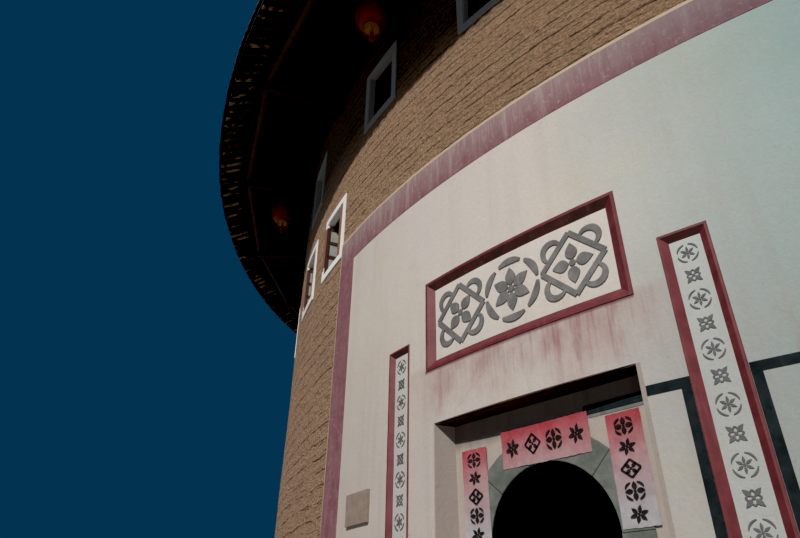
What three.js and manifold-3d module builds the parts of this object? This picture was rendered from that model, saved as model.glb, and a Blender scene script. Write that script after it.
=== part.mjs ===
// Round earth house with a plastered gate front: four storeys, tiled ring roof, timber galleries.
// Millimetres, +Z up, origin on the ground at the centre of the ring, gate towards -Y.
import * as THREE from 'three';
import { mergeVertices } from 'three/addons/utils/BufferGeometryUtils.js';
import Module from 'manifold-3d';

const wasm = await Module();
wasm.setup();

// Clearance between touching pieces, and how far cutting bodies run past a face.
const GAP = 0.3;
const OVER = 1500;

// Ring layout: angles in degrees from the gate axis, positive towards +X.
const BAYS = 30;
const BAY = 360 / BAYS;
const FACETS = 90;
const FACET_PHASE = 2;
const POST_PHASE = BAY / 2;

// Earth wall: battered outer face, inner face stepping back at every floor.
const WALL_R = 15360;
const BATTER = 0.0172;
const INNER_R = [13900, 14000, 14100, 14200];
const FLOOR_TOP = [150, 3850, 6400, 8950];
const FLOOR_THICK = 220;
const GALLERY_R = 8900;
const JOINT_ANGLE = 0.0007;
const SPLITS = [20.5, 55, 91, 127, 175, 185];

// Stone footing under the wall.
const PLINTH_TOP = 900;
const PLINTH_FOOT_R = 15480;
const PLINTH_HEAD_R = 15440;

// Windows: clear openings in the two upper storeys.
const WINDOW_WIDTH = 870;
const LOW_SILL = 7440;
const LOW_HEAD = 8620;
const HIGH_SILL = 9850;
const HIGH_HEAD = 11100;
const LOW_FIRST = [17.26, 24];
const HIGH_FIRST = [0, 10.54, 24];
const REGULAR_FROM = 36;

// Roof: two tiled slopes over the ring, leaning on a ridge purlin.
const SLOPE = 0.466;
const EAVE_R = 17610;
const EAVE_UNDER = 11550;
const ROOF_THICK = 300;
const ROOF_BED = 240;
const RIB_WIDE = 130;
const OUTER_RIBS = 80;
const OUTER_RIB_PHASE = 0.375;
const COURT_RIBS = 50;
const COURT_RIB_PHASE = 3;
const RIDGE_R = 12400;
const COURT_EAVE_R = 7900;
const RIDGE_HALF = 170;
const RIDGE_RISE = 190;
const QUARTER = 90;
const ROOF_SPLIT = 48;

// Gallery carpentry.
const POST = 160;
const BEAM = 200;
const POST_R = 9100;
const BEAM_DEEP = 240;
const RAIL_HEIGHT = 980;
const RAIL = 80;
const COURT_PLATE_TOP = 12360;
const RIDGE_PLATE_TOP = 13890;
const EAVE_PURLIN_R = 16850;
const EAVE_PURLIN_Z = 11740;
const EAVE_PURLIN = 95;
const PURLIN_SIDES = 6;
const BRACKET_WIDE = 120;
const BRACKET_DEEP = 170;

// Gate recess, splayed towards the outside, with an arched doorway in its back wall.
const GATE_SHIFT = 28;
const GATE_Y = 15330;
const RECESS_HALF = 1297;
const RECESS_TOP = 3582;
const RECESS_DEEP = 300;
const BACK_HALF = 1185;
const BACK_THICK = 100;
const PASSAGE_HALF = 950;
const LINTEL_BOTTOM = 3100;
const LINTEL_TOP = 3320;
const ARCH_R = 730;
const ARCH_SPRING = 2240;
const STONE_R = 1035;
const STONE_PROUD = 15;
const ARCH_STEPS = 16;
const THRESHOLD_TOP = 200;

// Plaster front with its painted border.
const SKIN = 25;
const BORDER_SKIN = 30;
const SKIN_ANGLE = 12.9;
const BORDER_ANGLE = 14.9;
const SKIN_TOP = 6960;
const BORDER_TOP = 7480;

// Framed tablets let into the plaster: depths are measured outwards from the earth face.
const TABLET = {
  angle: 0.05, half: 1389, low: 4245, high: 5475, frame: 130, lip: 42, front: 35, panel: -30, back: -80,
};
const STRIP = {
  angle: 7.26, half: 229, low: 1950, high: 4745, frame: 86, lip: 30, front: 33, panel: -17, back: -60,
};
const BEND_STEPS = 6;
const CUT_PAST = 20;
const NOTICE_ANGLE = -10.6;
const NOTICE_HALF = 285;
const NOTICE_LOW = 2670;
const NOTICE_HIGH = 3060;
const NOTICE_PROUD = 45;

// Lanterns under the eave.
const LANTERN_R = 15880;
const LANTERN_Z = 11080;
const LANTERN_HALF = 320;
const LANTERN_TALL = 520;
const LANTERN_ANGLES = [-7.5, -31.5];
const LANTERN_STEPS = 12;
const CORD = 12;

const rad = THREE.MathUtils.degToRad;
const outerAt = (z) => WALL_R - BATTER * z;
const underRoof = (r) => EAVE_UNDER + (EAVE_R - r) * SLOPE;
const underCourt = (r) => underRoof(RIDGE_R) - (RIDGE_R - r) * SLOPE;

// A closed three.js geometry as a solid, faces outwards.
function solid(geometry) {
  geometry.deleteAttribute('normal');
  geometry.deleteAttribute('uv');
  const merged = mergeVertices(geometry);
  const at = merged.attributes.position;
  const index = Array.from(merged.index.array);
  const p = [0, 1, 2].map(() => new THREE.Vector3());
  let volume = 0;
  for (let i = 0; i < index.length; i += 3) {
    p.forEach((v, k) => v.fromBufferAttribute(at, index[i + k]));
    volume += p[0].dot(p[1].clone().cross(p[2]));
  }
  if (volume < 0) {
    for (let i = 0; i < index.length; i += 3) [index[i + 1], index[i + 2]] = [index[i + 2], index[i + 1]];
  }
  return new wasm.Manifold(new wasm.Mesh({
    numProp: 3,
    vertProperties: Float32Array.from(at.array),
    triVerts: Uint32Array.from(index),
  }));
}

const join = (...bodies) => bodies.flat().reduce((a, b) => a.add(b));
const cut = (body, ...tools) => tools.flat().reduce((a, b) => a.subtract(b), body);

// A ring turned from a closed [radius, height] outline.
function ring(outline, segments = FACETS, phase = FACET_PHASE) {
  const points = [...outline, outline[0]].map(([r, z]) => new THREE.Vector2(r, z));
  const geometry = new THREE.LatheGeometry(points, segments, rad(phase), Math.PI * 2);
  geometry.rotateX(Math.PI / 2);
  return solid(geometry);
}

// A plan outline raised from z0 to z1.
function prism(outline, z0, z1, hole) {
  const shape = new THREE.Shape(outline.map(([x, y]) => new THREE.Vector2(x, y)));
  if (hole) shape.holes.push(new THREE.Path(hole.map(([x, y]) => new THREE.Vector2(x, y))));
  const geometry = new THREE.ExtrudeGeometry(shape, { depth: z1 - z0, bevelEnabled: false });
  geometry.translate(0, 0, z0);
  return solid(geometry);
}

// An upright outline in the x-z plane given thickness from y0 to y1.
function upright(outline, y0, y1) {
  const shape = new THREE.Shape(outline.map(([x, z]) => new THREE.Vector2(x, z)));
  const geometry = new THREE.ExtrudeGeometry(shape, { depth: y1 - y0, bevelEnabled: false });
  geometry.rotateX(Math.PI / 2);
  geometry.translate(0, y1, 0);
  return solid(geometry);
}

function box(x0, x1, y0, y1, z0, z1) {
  const geometry = new THREE.BoxGeometry(x1 - x0, y1 - y0, z1 - z0);
  geometry.translate((x0 + x1) / 2, (y0 + y1) / 2, (z0 + z1) / 2);
  return solid(geometry);
}

const turn = (body, angle) => body.rotate([0, 0, angle]);
const polar = (r, angle) => [r * Math.sin(rad(angle)), -r * Math.cos(rad(angle))];

// A box standing across the ring at an angle, between two radii.
function radial(angle, r0, r1, width, z0, z1) {
  return turn(box(-width / 2, width / 2, -r1, -r0, z0, z1), angle);
}

// The part of the plan between two angles.
function wedge(a0, a1) {
  const far = WALL_R * 2;
  const steps = Math.ceil((a1 - a0) / BAY);
  const rim = Array.from({ length: steps + 1 }, (_, i) => polar(far, a0 + (a1 - a0) * i / steps));
  return prism([[0, 0], ...rim], -OVER, EAVE_R);
}

const circle = (r, count, phase) =>
  Array.from({ length: count }, (_, i) => polar(r, phase + 360 * i / count));

// A lying block whose front face is larger or smaller than its back face.
function taper(half0, low0, high0, y0, half1, low1, high1, y1) {
  const geometry = new THREE.BoxGeometry(2, 2, 2);
  const at = geometry.attributes.position;
  for (let i = 0; i < at.count; i += 1) {
    const back = at.getY(i) > 0;
    const top = at.getZ(i) > 0;
    const high = back ? high1 : high0;
    const low = back ? low1 : low0;
    at.setXYZ(i, at.getX(i) * (back ? half1 : half0), back ? y1 : y0, top ? high : low);
  }
  return solid(geometry);
}

// A block bent along the wall, given by its back and its front: depth, half angle, low and high edge.
function bent(angle, back, front) {
  const geometry = new THREE.BoxGeometry(2, 2, 2, BEND_STEPS, 1, 1);
  const at = geometry.attributes.position;
  for (let i = 0; i < at.count; i += 1) {
    const [depth, half, low, high] = at.getY(i) > 0 ? back : front;
    const z = at.getZ(i) > 0 ? high : low;
    const [x, y] = polar(outerAt(z) + depth, angle + at.getX(i) * half);
    at.setXYZ(i, x, y, z);
  }
  return solid(geometry);
}

// Leans an upright body back with the batter of the wall.
const lean = (body) => body.transform([1, 0, 0, 0, 0, 1, 0, 0, 0, BATTER, 1, 0, 0, 0, 0, 1]);

const scene = new THREE.Group();
scene.name = 'round_earth_house';

function place(name, body, colour, roughness = 0.9, metalness = 0) {
  const { vertProperties, triVerts, numProp } = body.getMesh();
  const positions = new Float32Array(vertProperties.length / numProp * 3);
  for (let i = 0; i < positions.length / 3; i += 1) {
    for (let k = 0; k < 3; k += 1) positions[i * 3 + k] = vertProperties[i * numProp + k];
  }
  const geometry = new THREE.BufferGeometry();
  geometry.setAttribute('position', new THREE.BufferAttribute(positions, 3));
  geometry.setIndex(new THREE.BufferAttribute(Uint32Array.from(triVerts), 1));
  geometry.computeVertexNormals();
  const material = new THREE.MeshStandardMaterial({ color: colour, roughness, metalness });
  const mesh = new THREE.Mesh(geometry, material);
  mesh.name = name;
  scene.add(mesh);
}

const EARTH = 0xa98560;
const STONE = 0x8b8878;
const PLASTER = 0xe4ded4;
const TIMBER = 0x5d4432;
const TILE = 0x4a4642;
const MAROON = 0x8c3a36;

// Cutting bodies of the gate.
const splay = (RECESS_HALF - BACK_HALF) / RECESS_DEEP;
const backY = RECESS_DEEP - GATE_Y;
const shoulderY = backY + BACK_THICK;
const shifted = (body) => body.translate([GATE_SHIFT, 0, 0]);
const slot = (half, y0, y1, z0, z1) => shifted(box(-half, half, y0, y1, z0, z1));
const recess = shifted(taper(
  RECESS_HALF + OVER * splay, -OVER, RECESS_TOP, -GATE_Y - OVER,
  BACK_HALF, -OVER, RECESS_TOP, backY,
));
const backSlot = slot(BACK_HALF, backY - GAP, shoulderY, -OVER, RECESS_TOP);
const passageSlot = slot(PASSAGE_HALF, shoulderY - GAP, -GALLERY_R, -OVER, LINTEL_TOP);
const lintelSlot = slot(BACK_HALF, shoulderY - GAP, -GALLERY_R, LINTEL_BOTTOM, LINTEL_TOP);
const overSlot = slot(BACK_HALF, -GATE_Y - OVER, -GALLERY_R, LINTEL_TOP, EAVE_R);

// Windows of both rows, mirrored about the gate axis.
const regular = Array.from({ length: (180 - REGULAR_FROM) / BAY + 1 }, (_, i) => REGULAR_FROM + BAY * i);
const mirrored = (angles) => angles.flatMap((a) => (a % 180 === 0 ? [a] : [a, -a]));
const windowAt = (sill, head) => (angle) =>
  radial(angle, INNER_R[0] - OVER, WALL_R + OVER, WINDOW_WIDTH, sill, head);
const windows = [
  ...mirrored([...LOW_FIRST, ...regular]).map(windowAt(LOW_SILL, LOW_HEAD)),
  ...mirrored([...HIGH_FIRST, ...regular]).map(windowAt(HIGH_SILL, HIGH_HEAD)),
];

// A layer following the wall between two depths, measured outwards from the earth face.
const layer = (inner, outer, z0, z1) => ring([
  [outerAt(z0) + inner, z0], [outerAt(z0) + outer, z0],
  [outerAt(z1) + outer, z1], [outerAt(z1) + inner, z1],
]);

// Tablets: a lipped frame whose bevel falls to a sunk panel, and the pocket each one sits in.
const inset = (t, depth, by) =>
  [depth, THREE.MathUtils.radToDeg(Math.asin((t.half - by) / WALL_R)), t.low + by, t.high - by];
const within = (t, by, inner, outer) => layer(inner, outer, 0, EAVE_UNDER).intersect(
  bent(t.angle, inset(t, inner - OVER, by), inset(t, outer + OVER, by)),
);
const pocket = (t) => within(t, -GAP, t.back - GAP, OVER);
const sunk = (t) => {
  const run = (t.frame - t.lip) / (t.front - t.panel);
  return cut(within(t, 0, t.back, t.front), bent(
    t.angle, inset(t, t.panel, t.frame), inset(t, t.front + CUT_PAST, t.lip - run * CUT_PAST),
  ));
};
const STRIP_LEFT = { ...STRIP, angle: -STRIP.angle };
const pockets = [TABLET, STRIP, STRIP_LEFT].map(pocket);

// Stone footing, two halves, interrupted by the gate.
const footing = cut(ring([
  [INNER_R[0], 0], [PLINTH_FOOT_R, 0],
  [PLINTH_HEAD_R, PLINTH_TOP - GAP], [INNER_R[0], PLINTH_TOP - GAP],
]), recess, backSlot, passageSlot);
place('footing_right', footing.intersect(wedge(0, 180 - JOINT_ANGLE)), STONE);
place('footing_left', footing.intersect(wedge(180, 360 - JOINT_ANGLE)), STONE);

// Earth wall with its openings, in segments.
const ledge = FLOOR_TOP.map((z) => z - FLOOR_THICK);
const stepped = INNER_R.flatMap((r, i) => (i === 0 ? [] : [[INNER_R[i - 1], ledge[i]], [r, ledge[i]]]));
const headR = (WALL_R - BATTER * (EAVE_UNDER + EAVE_R * SLOPE)) / (1 - BATTER * SLOPE);
const earth = ring([
  [INNER_R[0], PLINTH_TOP], ...stepped,
  [INNER_R[3], underRoof(INNER_R[3]) - GAP],
  [headR, underRoof(headR) - GAP], [outerAt(PLINTH_TOP), PLINTH_TOP],
]);
const pierced = cut(earth, windows, pockets);
const [front, ...rest] = SPLITS;
const gateSide = cut(pierced, recess, backSlot, passageSlot, lintelSlot, overSlot);
place('wall_gate_right', gateSide.intersect(wedge(0, front - JOINT_ANGLE)), EARTH, 0.95);
place('wall_gate_left', gateSide.intersect(wedge(JOINT_ANGLE - front, 0)), EARTH, 0.95);
place('wall_over_gate', cut(
  pierced.intersect(slot(BACK_HALF - GAP, -GATE_Y - OVER, -GALLERY_R, LINTEL_TOP, EAVE_R)),
  recess, backSlot,
), EARTH, 0.95);
rest.forEach((end, i) => {
  const from = SPLITS[i];
  if (end > 180) {
    place('wall_back', pierced.intersect(wedge(from, end - JOINT_ANGLE)), EARTH, 0.95);
    return;
  }
  place(`wall_right_${i + 1}`, pierced.intersect(wedge(from, end - JOINT_ANGLE)), EARTH, 0.95);
  place(`wall_left_${i + 1}`, pierced.intersect(wedge(JOINT_ANGLE - end, -from)), EARTH, 0.95);
});

// Gate: timber lintel, plastered back wall, stone surround and threshold.
place('gate_lintel', earth.intersect(
  slot(BACK_HALF - GAP, shoulderY + GAP, -GALLERY_R, LINTEL_BOTTOM + GAP, LINTEL_TOP - GAP),
), TIMBER, 0.8);
const archLine = (r, foot) => [
  [r, foot],
  ...Array.from({ length: ARCH_STEPS + 1 }, (_, i) => {
    const a = Math.PI * i / ARCH_STEPS;
    return [r * Math.cos(a), ARCH_SPRING + r * Math.sin(a)];
  }),
  [-r, foot],
];
place('gate_back_wall', cut(
  slot(BACK_HALF - GAP, backY, shoulderY - GAP, 0, RECESS_TOP - GAP),
  shifted(upright(archLine(STONE_R, -OVER), backY - OVER, shoulderY + OVER)),
), PLASTER, 0.85);
const stoneY = backY - STONE_PROUD;
const stoneEnd = shoulderY - GAP;
place('arch_stones', shifted(cut(
  upright(archLine(STONE_R - GAP, ARCH_SPRING - 1), stoneY, stoneEnd),
  upright(archLine(ARCH_R, -OVER), stoneY - OVER, stoneEnd + OVER),
  box(-STONE_R, STONE_R, stoneY - OVER, stoneEnd + OVER, -OVER, ARCH_SPRING),
)), STONE, 0.85);
const jamb = box(ARCH_R, STONE_R - GAP, stoneY, stoneEnd, 0, ARCH_SPRING - GAP);
place('jamb_right', shifted(jamb), STONE, 0.85);
place('jamb_left', shifted(jamb.mirror([1, 0, 0])), STONE, 0.85);
place('threshold', slot(ARCH_R - GAP, stoneY, stoneEnd, 0, THRESHOLD_TOP), STONE, 0.85);

// Plaster front and painted border on the battered face.
place('gate_plaster', cut(
  layer(GAP, SKIN, PLINTH_TOP, SKIN_TOP).intersect(wedge(-SKIN_ANGLE, SKIN_ANGLE)), recess, pockets,
), PLASTER, 0.8);
place('gate_border', cut(
  layer(GAP, BORDER_SKIN, PLINTH_TOP, BORDER_TOP).intersect(wedge(-BORDER_ANGLE, BORDER_ANGLE)),
  wedge(-SKIN_ANGLE - JOINT_ANGLE, SKIN_ANGLE + JOINT_ANGLE).intersect(
    box(-WALL_R, WALL_R, -WALL_R * 2, 0, -OVER, SKIN_TOP + GAP),
  ),
), 0x9c6f7d, 0.85);

place('tablet_frame', cut(
  sunk(TABLET), within(TABLET, TABLET.frame, TABLET.back - CUT_PAST, TABLET.front + CUT_PAST),
), MAROON, 0.75);
place('tablet_panel', within(TABLET, TABLET.frame + GAP, TABLET.back, TABLET.panel), PLASTER, 0.8);
place('strip_tablet_right', sunk(STRIP), MAROON, 0.75);
place('strip_tablet_left', sunk(STRIP_LEFT), MAROON, 0.75);

// Notice stone: a front plane leaning with the wall, the back following the plaster.
const behind = ring([
  [INNER_R[0], -OVER], [outerAt(-OVER) + SKIN + GAP, -OVER],
  [outerAt(EAVE_R) + SKIN + GAP, EAVE_R], [INNER_R[0], EAVE_R],
]);
const noticeY = -WALL_R * Math.cos(rad(FACET_PHASE)) - SKIN;
place('notice_stone', cut(turn(lean(box(
  -NOTICE_HALF, NOTICE_HALF, noticeY - NOTICE_PROUD, noticeY + NOTICE_HALF, NOTICE_LOW, NOTICE_HIGH,
)), NOTICE_ANGLE), behind), 0xc9bba2, 0.85);

// Floors: ground ring with the passage, and three timber floors on the wall ledges.
const wallSide = (r) => circle(r - GAP * 2, FACETS, FACET_PHASE);
const courtSide = circle(GALLERY_R, BAYS, POST_PHASE);
place('ground_floor', join(
  prism(wallSide(INNER_R[0]), 0, FLOOR_TOP[0], courtSide),
  slot(
    PASSAGE_HALF - GAP, shoulderY + GAP,
    -INNER_R[0] * Math.cos(rad(FACET_PHASE * 3)), 0, FLOOR_TOP[0],
  ),
), 0x8f8a7e);
FLOOR_TOP.slice(1).forEach((top, i) => {
  place(`floor_${i + 2}`, prism(
    wallSide(INNER_R[i + 1]), top - FLOOR_THICK + GAP, top, courtSide,
  ), TIMBER, 0.8);
});

// Gallery frames: posts, edge beam and hand rail, storey by storey.
const bayRing = (r, wide, z0, z1) => ring([
  [r - wide / 2, z0], [r + wide / 2, z0], [r + wide / 2, z1], [r - wide / 2, z1],
], BAYS, POST_PHASE);
const posts = (r, z0, z1) => Array.from({ length: BAYS }, (_, i) =>
  radial(POST_PHASE + BAY * i, r - POST / 2, r + POST / 2, POST, z0, z1));
FLOOR_TOP.forEach((top, i) => {
  const head = i + 1 < FLOOR_TOP.length ? ledge[i + 1] : COURT_PLATE_TOP;
  const parts = [
    bayRing(POST_R, BEAM, head - BEAM_DEEP, head), ...posts(POST_R, top + GAP, head - BEAM_DEEP / 2),
  ];
  if (i > 0) parts.push(bayRing(POST_R, RAIL, top + RAIL_HEIGHT - RAIL, top + RAIL_HEIGHT));
  place(`gallery_${i + 1}`, join(parts), TIMBER, 0.8);
});
place('ridge_frame', join(
  bayRing(RIDGE_R, BEAM, RIDGE_PLATE_TOP - BEAM_DEEP, RIDGE_PLATE_TOP),
  posts(RIDGE_R, FLOOR_TOP[3] + GAP, RIDGE_PLATE_TOP - BEAM_DEEP / 2),
), TIMBER, 0.8);

// Roof slopes: a bed with the main tile ribs on it, full thickness under the ridge.
const slope = (under, start, foot, eave) => ring([
  [start, under(start)], [eave, under(eave)], [eave, under(eave) + ROOF_BED], [foot, under(foot) + ROOF_BED],
  [foot, under(foot) + ROOF_THICK], [start, under(start) + ROOF_THICK],
]);
const ribs = (under, start, eave, count, phase) => ring([
  [start, under(start) + ROOF_BED / 2], [eave, under(eave) + ROOF_BED / 2],
  [eave, under(eave) + ROOF_THICK], [start, under(start) + ROOF_THICK],
]).intersect(join(Array.from({ length: count }, (_, i) => radial(
  phase + 360 * i / count, Math.min(start, eave) - RIB_WIDE, Math.max(start, eave) + RIB_WIDE,
  RIB_WIDE, 0, EAVE_R,
))));
const OUTER_FOOT = RIDGE_R + RIDGE_HALF + RIB_WIDE / 2;
const COURT_FOOT = RIDGE_R - RIDGE_HALF - RIB_WIDE / 2;
const outerSlope = join(
  slope(underRoof, RIDGE_R + GAP, OUTER_FOOT, EAVE_R),
  ribs(underRoof, RIDGE_R + RIDGE_HALF, EAVE_R, OUTER_RIBS, OUTER_RIB_PHASE),
);
['front', 'right', 'back', 'left'].forEach((side, i) => {
  const from = ROOF_SPLIT + QUARTER * (i - 1);
  place(`roof_${side}`, outerSlope.intersect(wedge(from, from + QUARTER - JOINT_ANGLE)), TILE, 0.85);
});
place('roof_court', join(
  slope(underCourt, RIDGE_R - GAP, COURT_FOOT, COURT_EAVE_R),
  ribs(underCourt, RIDGE_R - RIDGE_HALF, COURT_EAVE_R, COURT_RIBS, COURT_RIB_PHASE),
), TILE, 0.85);

// Ridge, and the eave purlin on brackets.
const ridgeTop = underRoof(RIDGE_R) + ROOF_THICK;
place('roof_ridge', ring([
  [RIDGE_R - RIDGE_HALF, ridgeTop - RIDGE_HALF * SLOPE + GAP * 2], [RIDGE_R, ridgeTop + GAP * 2],
  [RIDGE_R + RIDGE_HALF, ridgeTop - RIDGE_HALF * SLOPE + GAP * 2],
  [RIDGE_R + RIDGE_HALF, ridgeTop + RIDGE_RISE], [RIDGE_R - RIDGE_HALF, ridgeTop + RIDGE_RISE],
]), TILE, 0.85);
const purlinBottom = EAVE_PURLIN_Z - EAVE_PURLIN;
place('eave_purlin', join(
  ring(Array.from({ length: PURLIN_SIDES }, (_, i) => [
    EAVE_PURLIN_R + EAVE_PURLIN * Math.cos(Math.PI * 2 * (i + 0.5) / PURLIN_SIDES),
    EAVE_PURLIN_Z + EAVE_PURLIN * Math.sin(Math.PI * 2 * (i + 0.5) / PURLIN_SIDES),
  ]), BAYS, POST_PHASE),
  Array.from({ length: BAYS }, (_, i) => radial(
    POST_PHASE + BAY * i, outerAt(purlinBottom - BRACKET_DEEP) + GAP, EAVE_PURLIN_R + EAVE_PURLIN,
    BRACKET_WIDE, purlinBottom - BRACKET_DEEP + BRACKET_WIDE / 4, purlinBottom + BRACKET_WIDE / 4,
  )),
), 0x7a4636, 0.75);

// Lanterns with hanging rod, caps and tassel, seated under the roof slope.
const roofSpace = ring([
  [RIDGE_R, underRoof(RIDGE_R) - GAP], [EAVE_R, EAVE_UNDER - GAP],
  [EAVE_R, EAVE_UNDER + OVER], [RIDGE_R, underRoof(RIDGE_R) + OVER],
]);
LANTERN_ANGLES.forEach((angle, i) => {
  const [x, y] = polar(LANTERN_R, angle);
  const low = LANTERN_Z - LANTERN_TALL / 2;
  const high = LANTERN_Z + LANTERN_TALL / 2;
  const cap = LANTERN_HALF * 0.45;
  const top = underRoof(LANTERN_R) + CORD * 2;
  const outline = [
    [0, low - LANTERN_TALL * 0.7], [CORD * 4, low - LANTERN_TALL * 0.7], [CORD * 2, low - cap * 0.4],
    [cap, low - cap * 0.4], [cap, low], [LANTERN_HALF * 0.85, low + LANTERN_TALL * 0.2],
    [LANTERN_HALF, LANTERN_Z], [LANTERN_HALF * 0.85, high - LANTERN_TALL * 0.2], [cap, high],
    [cap, high + cap * 0.4], [CORD, high + cap * 0.4], [CORD, top], [0, top],
  ];
  const geometry = new THREE.LatheGeometry(
    outline.map(([r, z]) => new THREE.Vector2(r, z)), LANTERN_STEPS, 0, Math.PI * 2,
  );
  geometry.rotateX(Math.PI / 2);
  place(`lantern_${i + 1}`, cut(solid(geometry).translate([x, y, 0]), roofSpace), 0xb3202a, 0.6);
});

export default scene;
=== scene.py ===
"""Round earth house with a plastered gate front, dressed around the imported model."""
import random
from math import asin, atan2, ceil, copysign, cos, degrees, hypot, pi, radians, sin, sqrt
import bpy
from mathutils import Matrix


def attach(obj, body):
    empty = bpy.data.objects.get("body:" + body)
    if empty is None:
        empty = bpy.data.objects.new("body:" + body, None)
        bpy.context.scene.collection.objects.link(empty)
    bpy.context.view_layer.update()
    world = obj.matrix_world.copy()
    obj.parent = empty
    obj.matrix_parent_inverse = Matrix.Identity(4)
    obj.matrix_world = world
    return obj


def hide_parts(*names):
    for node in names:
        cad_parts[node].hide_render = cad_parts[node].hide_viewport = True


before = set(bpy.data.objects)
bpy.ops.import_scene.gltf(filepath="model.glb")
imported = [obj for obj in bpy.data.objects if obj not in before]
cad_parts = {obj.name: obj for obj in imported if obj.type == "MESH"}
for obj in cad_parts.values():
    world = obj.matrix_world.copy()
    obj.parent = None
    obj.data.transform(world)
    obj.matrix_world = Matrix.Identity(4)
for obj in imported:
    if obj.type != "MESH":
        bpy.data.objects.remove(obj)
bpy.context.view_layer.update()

from types import SimpleNamespace

import bmesh
import bpy
from mathutils import Matrix, Vector, noise

# Layout in metres; angles in degrees from the gate axis, positive towards +X
WALL_R, BATTER = 15.36, 0.0172  # outer radius at the ground, and what it loses per metre of height
INNER_R = (13.9, 14, 14.1, 14.2)  # inner radius, storey by storey
ARC_R = 15.3  # radius at which lengths along the wall turn into angles
FLOOR_TOP = (0.15, 3.85, 6.4, 8.95)
FLOOR_THICK = 0.22
LEDGES = tuple(z - FLOOR_THICK for z in FLOOR_TOP[1:])
PLINTH_TOP, FOOT_R, FOOT_LOSS = 0.9, 15.455, 0.04
SPLITS = (20.5, 55, 91, 127, 175)
WINDOW_HALF = 0.435
LOW, HIGH = (7.44, 8.62), (9.85, 11.1)  # sill and head of the two window rows
SLOPE, EAVE_R, EAVE_UNDER, ROOF_THICK = 0.466, 17.61, 11.55, 0.3
RIDGE_R, COURT_EAVE_R = 12.4, 7.9
GATE_X, GATE_Y, BACK_Y, BACK_THICK = 0.028, -15.33, -15.03, 0.1
BACK_HALF, RECESS_HALF, RECESS_TOP = 1.185, 1.297, 3.582
ARCH_R, ARCH_SPRING, STONE_R = 0.73, 2.24, 1.035
SKIN_ANGLE, SKIN_RIGHT, BORDER_ANGLE = 12.9, 13.45, 14.9
SKIN_TOP, BORDER_TOP = 6.96, 7.48
GAP = 0.0003
BAY = 12
TABLET = SimpleNamespace(angle=0.05, half=1.389, low=4.245, high=5.475, frame=0.13, lip=0.042,
                         front=0.035, panel=-0.03, back=-0.08)
STRIP, STRIP_LEFT = (SimpleNamespace(angle=angle, half=0.229, low=1.95, high=4.745, frame=0.086, lip=0.03,
                                     front=0.033, panel=-0.017, back=-0.06) for angle in (7.26, -7.26))
TABLETS = (TABLET, STRIP, STRIP_LEFT)
POST_R, GALLERY_R = 9.1, 8.9


def polar(r, a):
    a = radians(a)
    return r * sin(a), -r * cos(a)


def wall_r(z):
    return WALL_R - BATTER * z


def under_roof(r):
    return EAVE_UNDER + (EAVE_R - r) * SLOPE


def under_court(r):
    return under_roof(RIDGE_R) - (RIDGE_R - r) * SLOPE


def half_angle(half, r):
    return degrees(asin(half / r))


# Camera, solved from the photograph
EYE = (3.7, -20.334, 1.5)
HEADING, PITCH, ROLL = (radians(v) for v in (47.52, 30.42, 0.13))
LENS, SENSOR = 27.88, 36


def add_object(name, data):
    obj = bpy.data.objects.new(name, data)
    bpy.context.scene.collection.objects.link(obj)
    return obj


def make_camera():
    data = bpy.data.cameras.new("camera")
    data.lens, data.sensor_width, data.sensor_fit = LENS, SENSOR, "HORIZONTAL"
    data.clip_end = 600
    cam = add_object("camera", data)
    cam.matrix_world = (Matrix.Translation(EYE) @ Matrix.Rotation(HEADING, 4, "Z")
                        @ Matrix.Rotation(pi / 2 + PITCH, 4, "X") @ Matrix.Rotation(ROLL, 4, "Z"))
    bpy.context.scene.camera = cam


make_camera()


# Shading kit
class Value:
    """A number in a node tree; sums and products that start with it become Math nodes."""

    def __init__(self, shade, socket):
        self.shade, self.socket = shade, socket

    def __add__(self, other):
        return self.shade.math("ADD", self, other)

    def __sub__(self, other):
        return self.shade.math("SUBTRACT", self, other)

    def __mul__(self, other):
        return self.shade.math("MULTIPLY", self, other)


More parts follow.
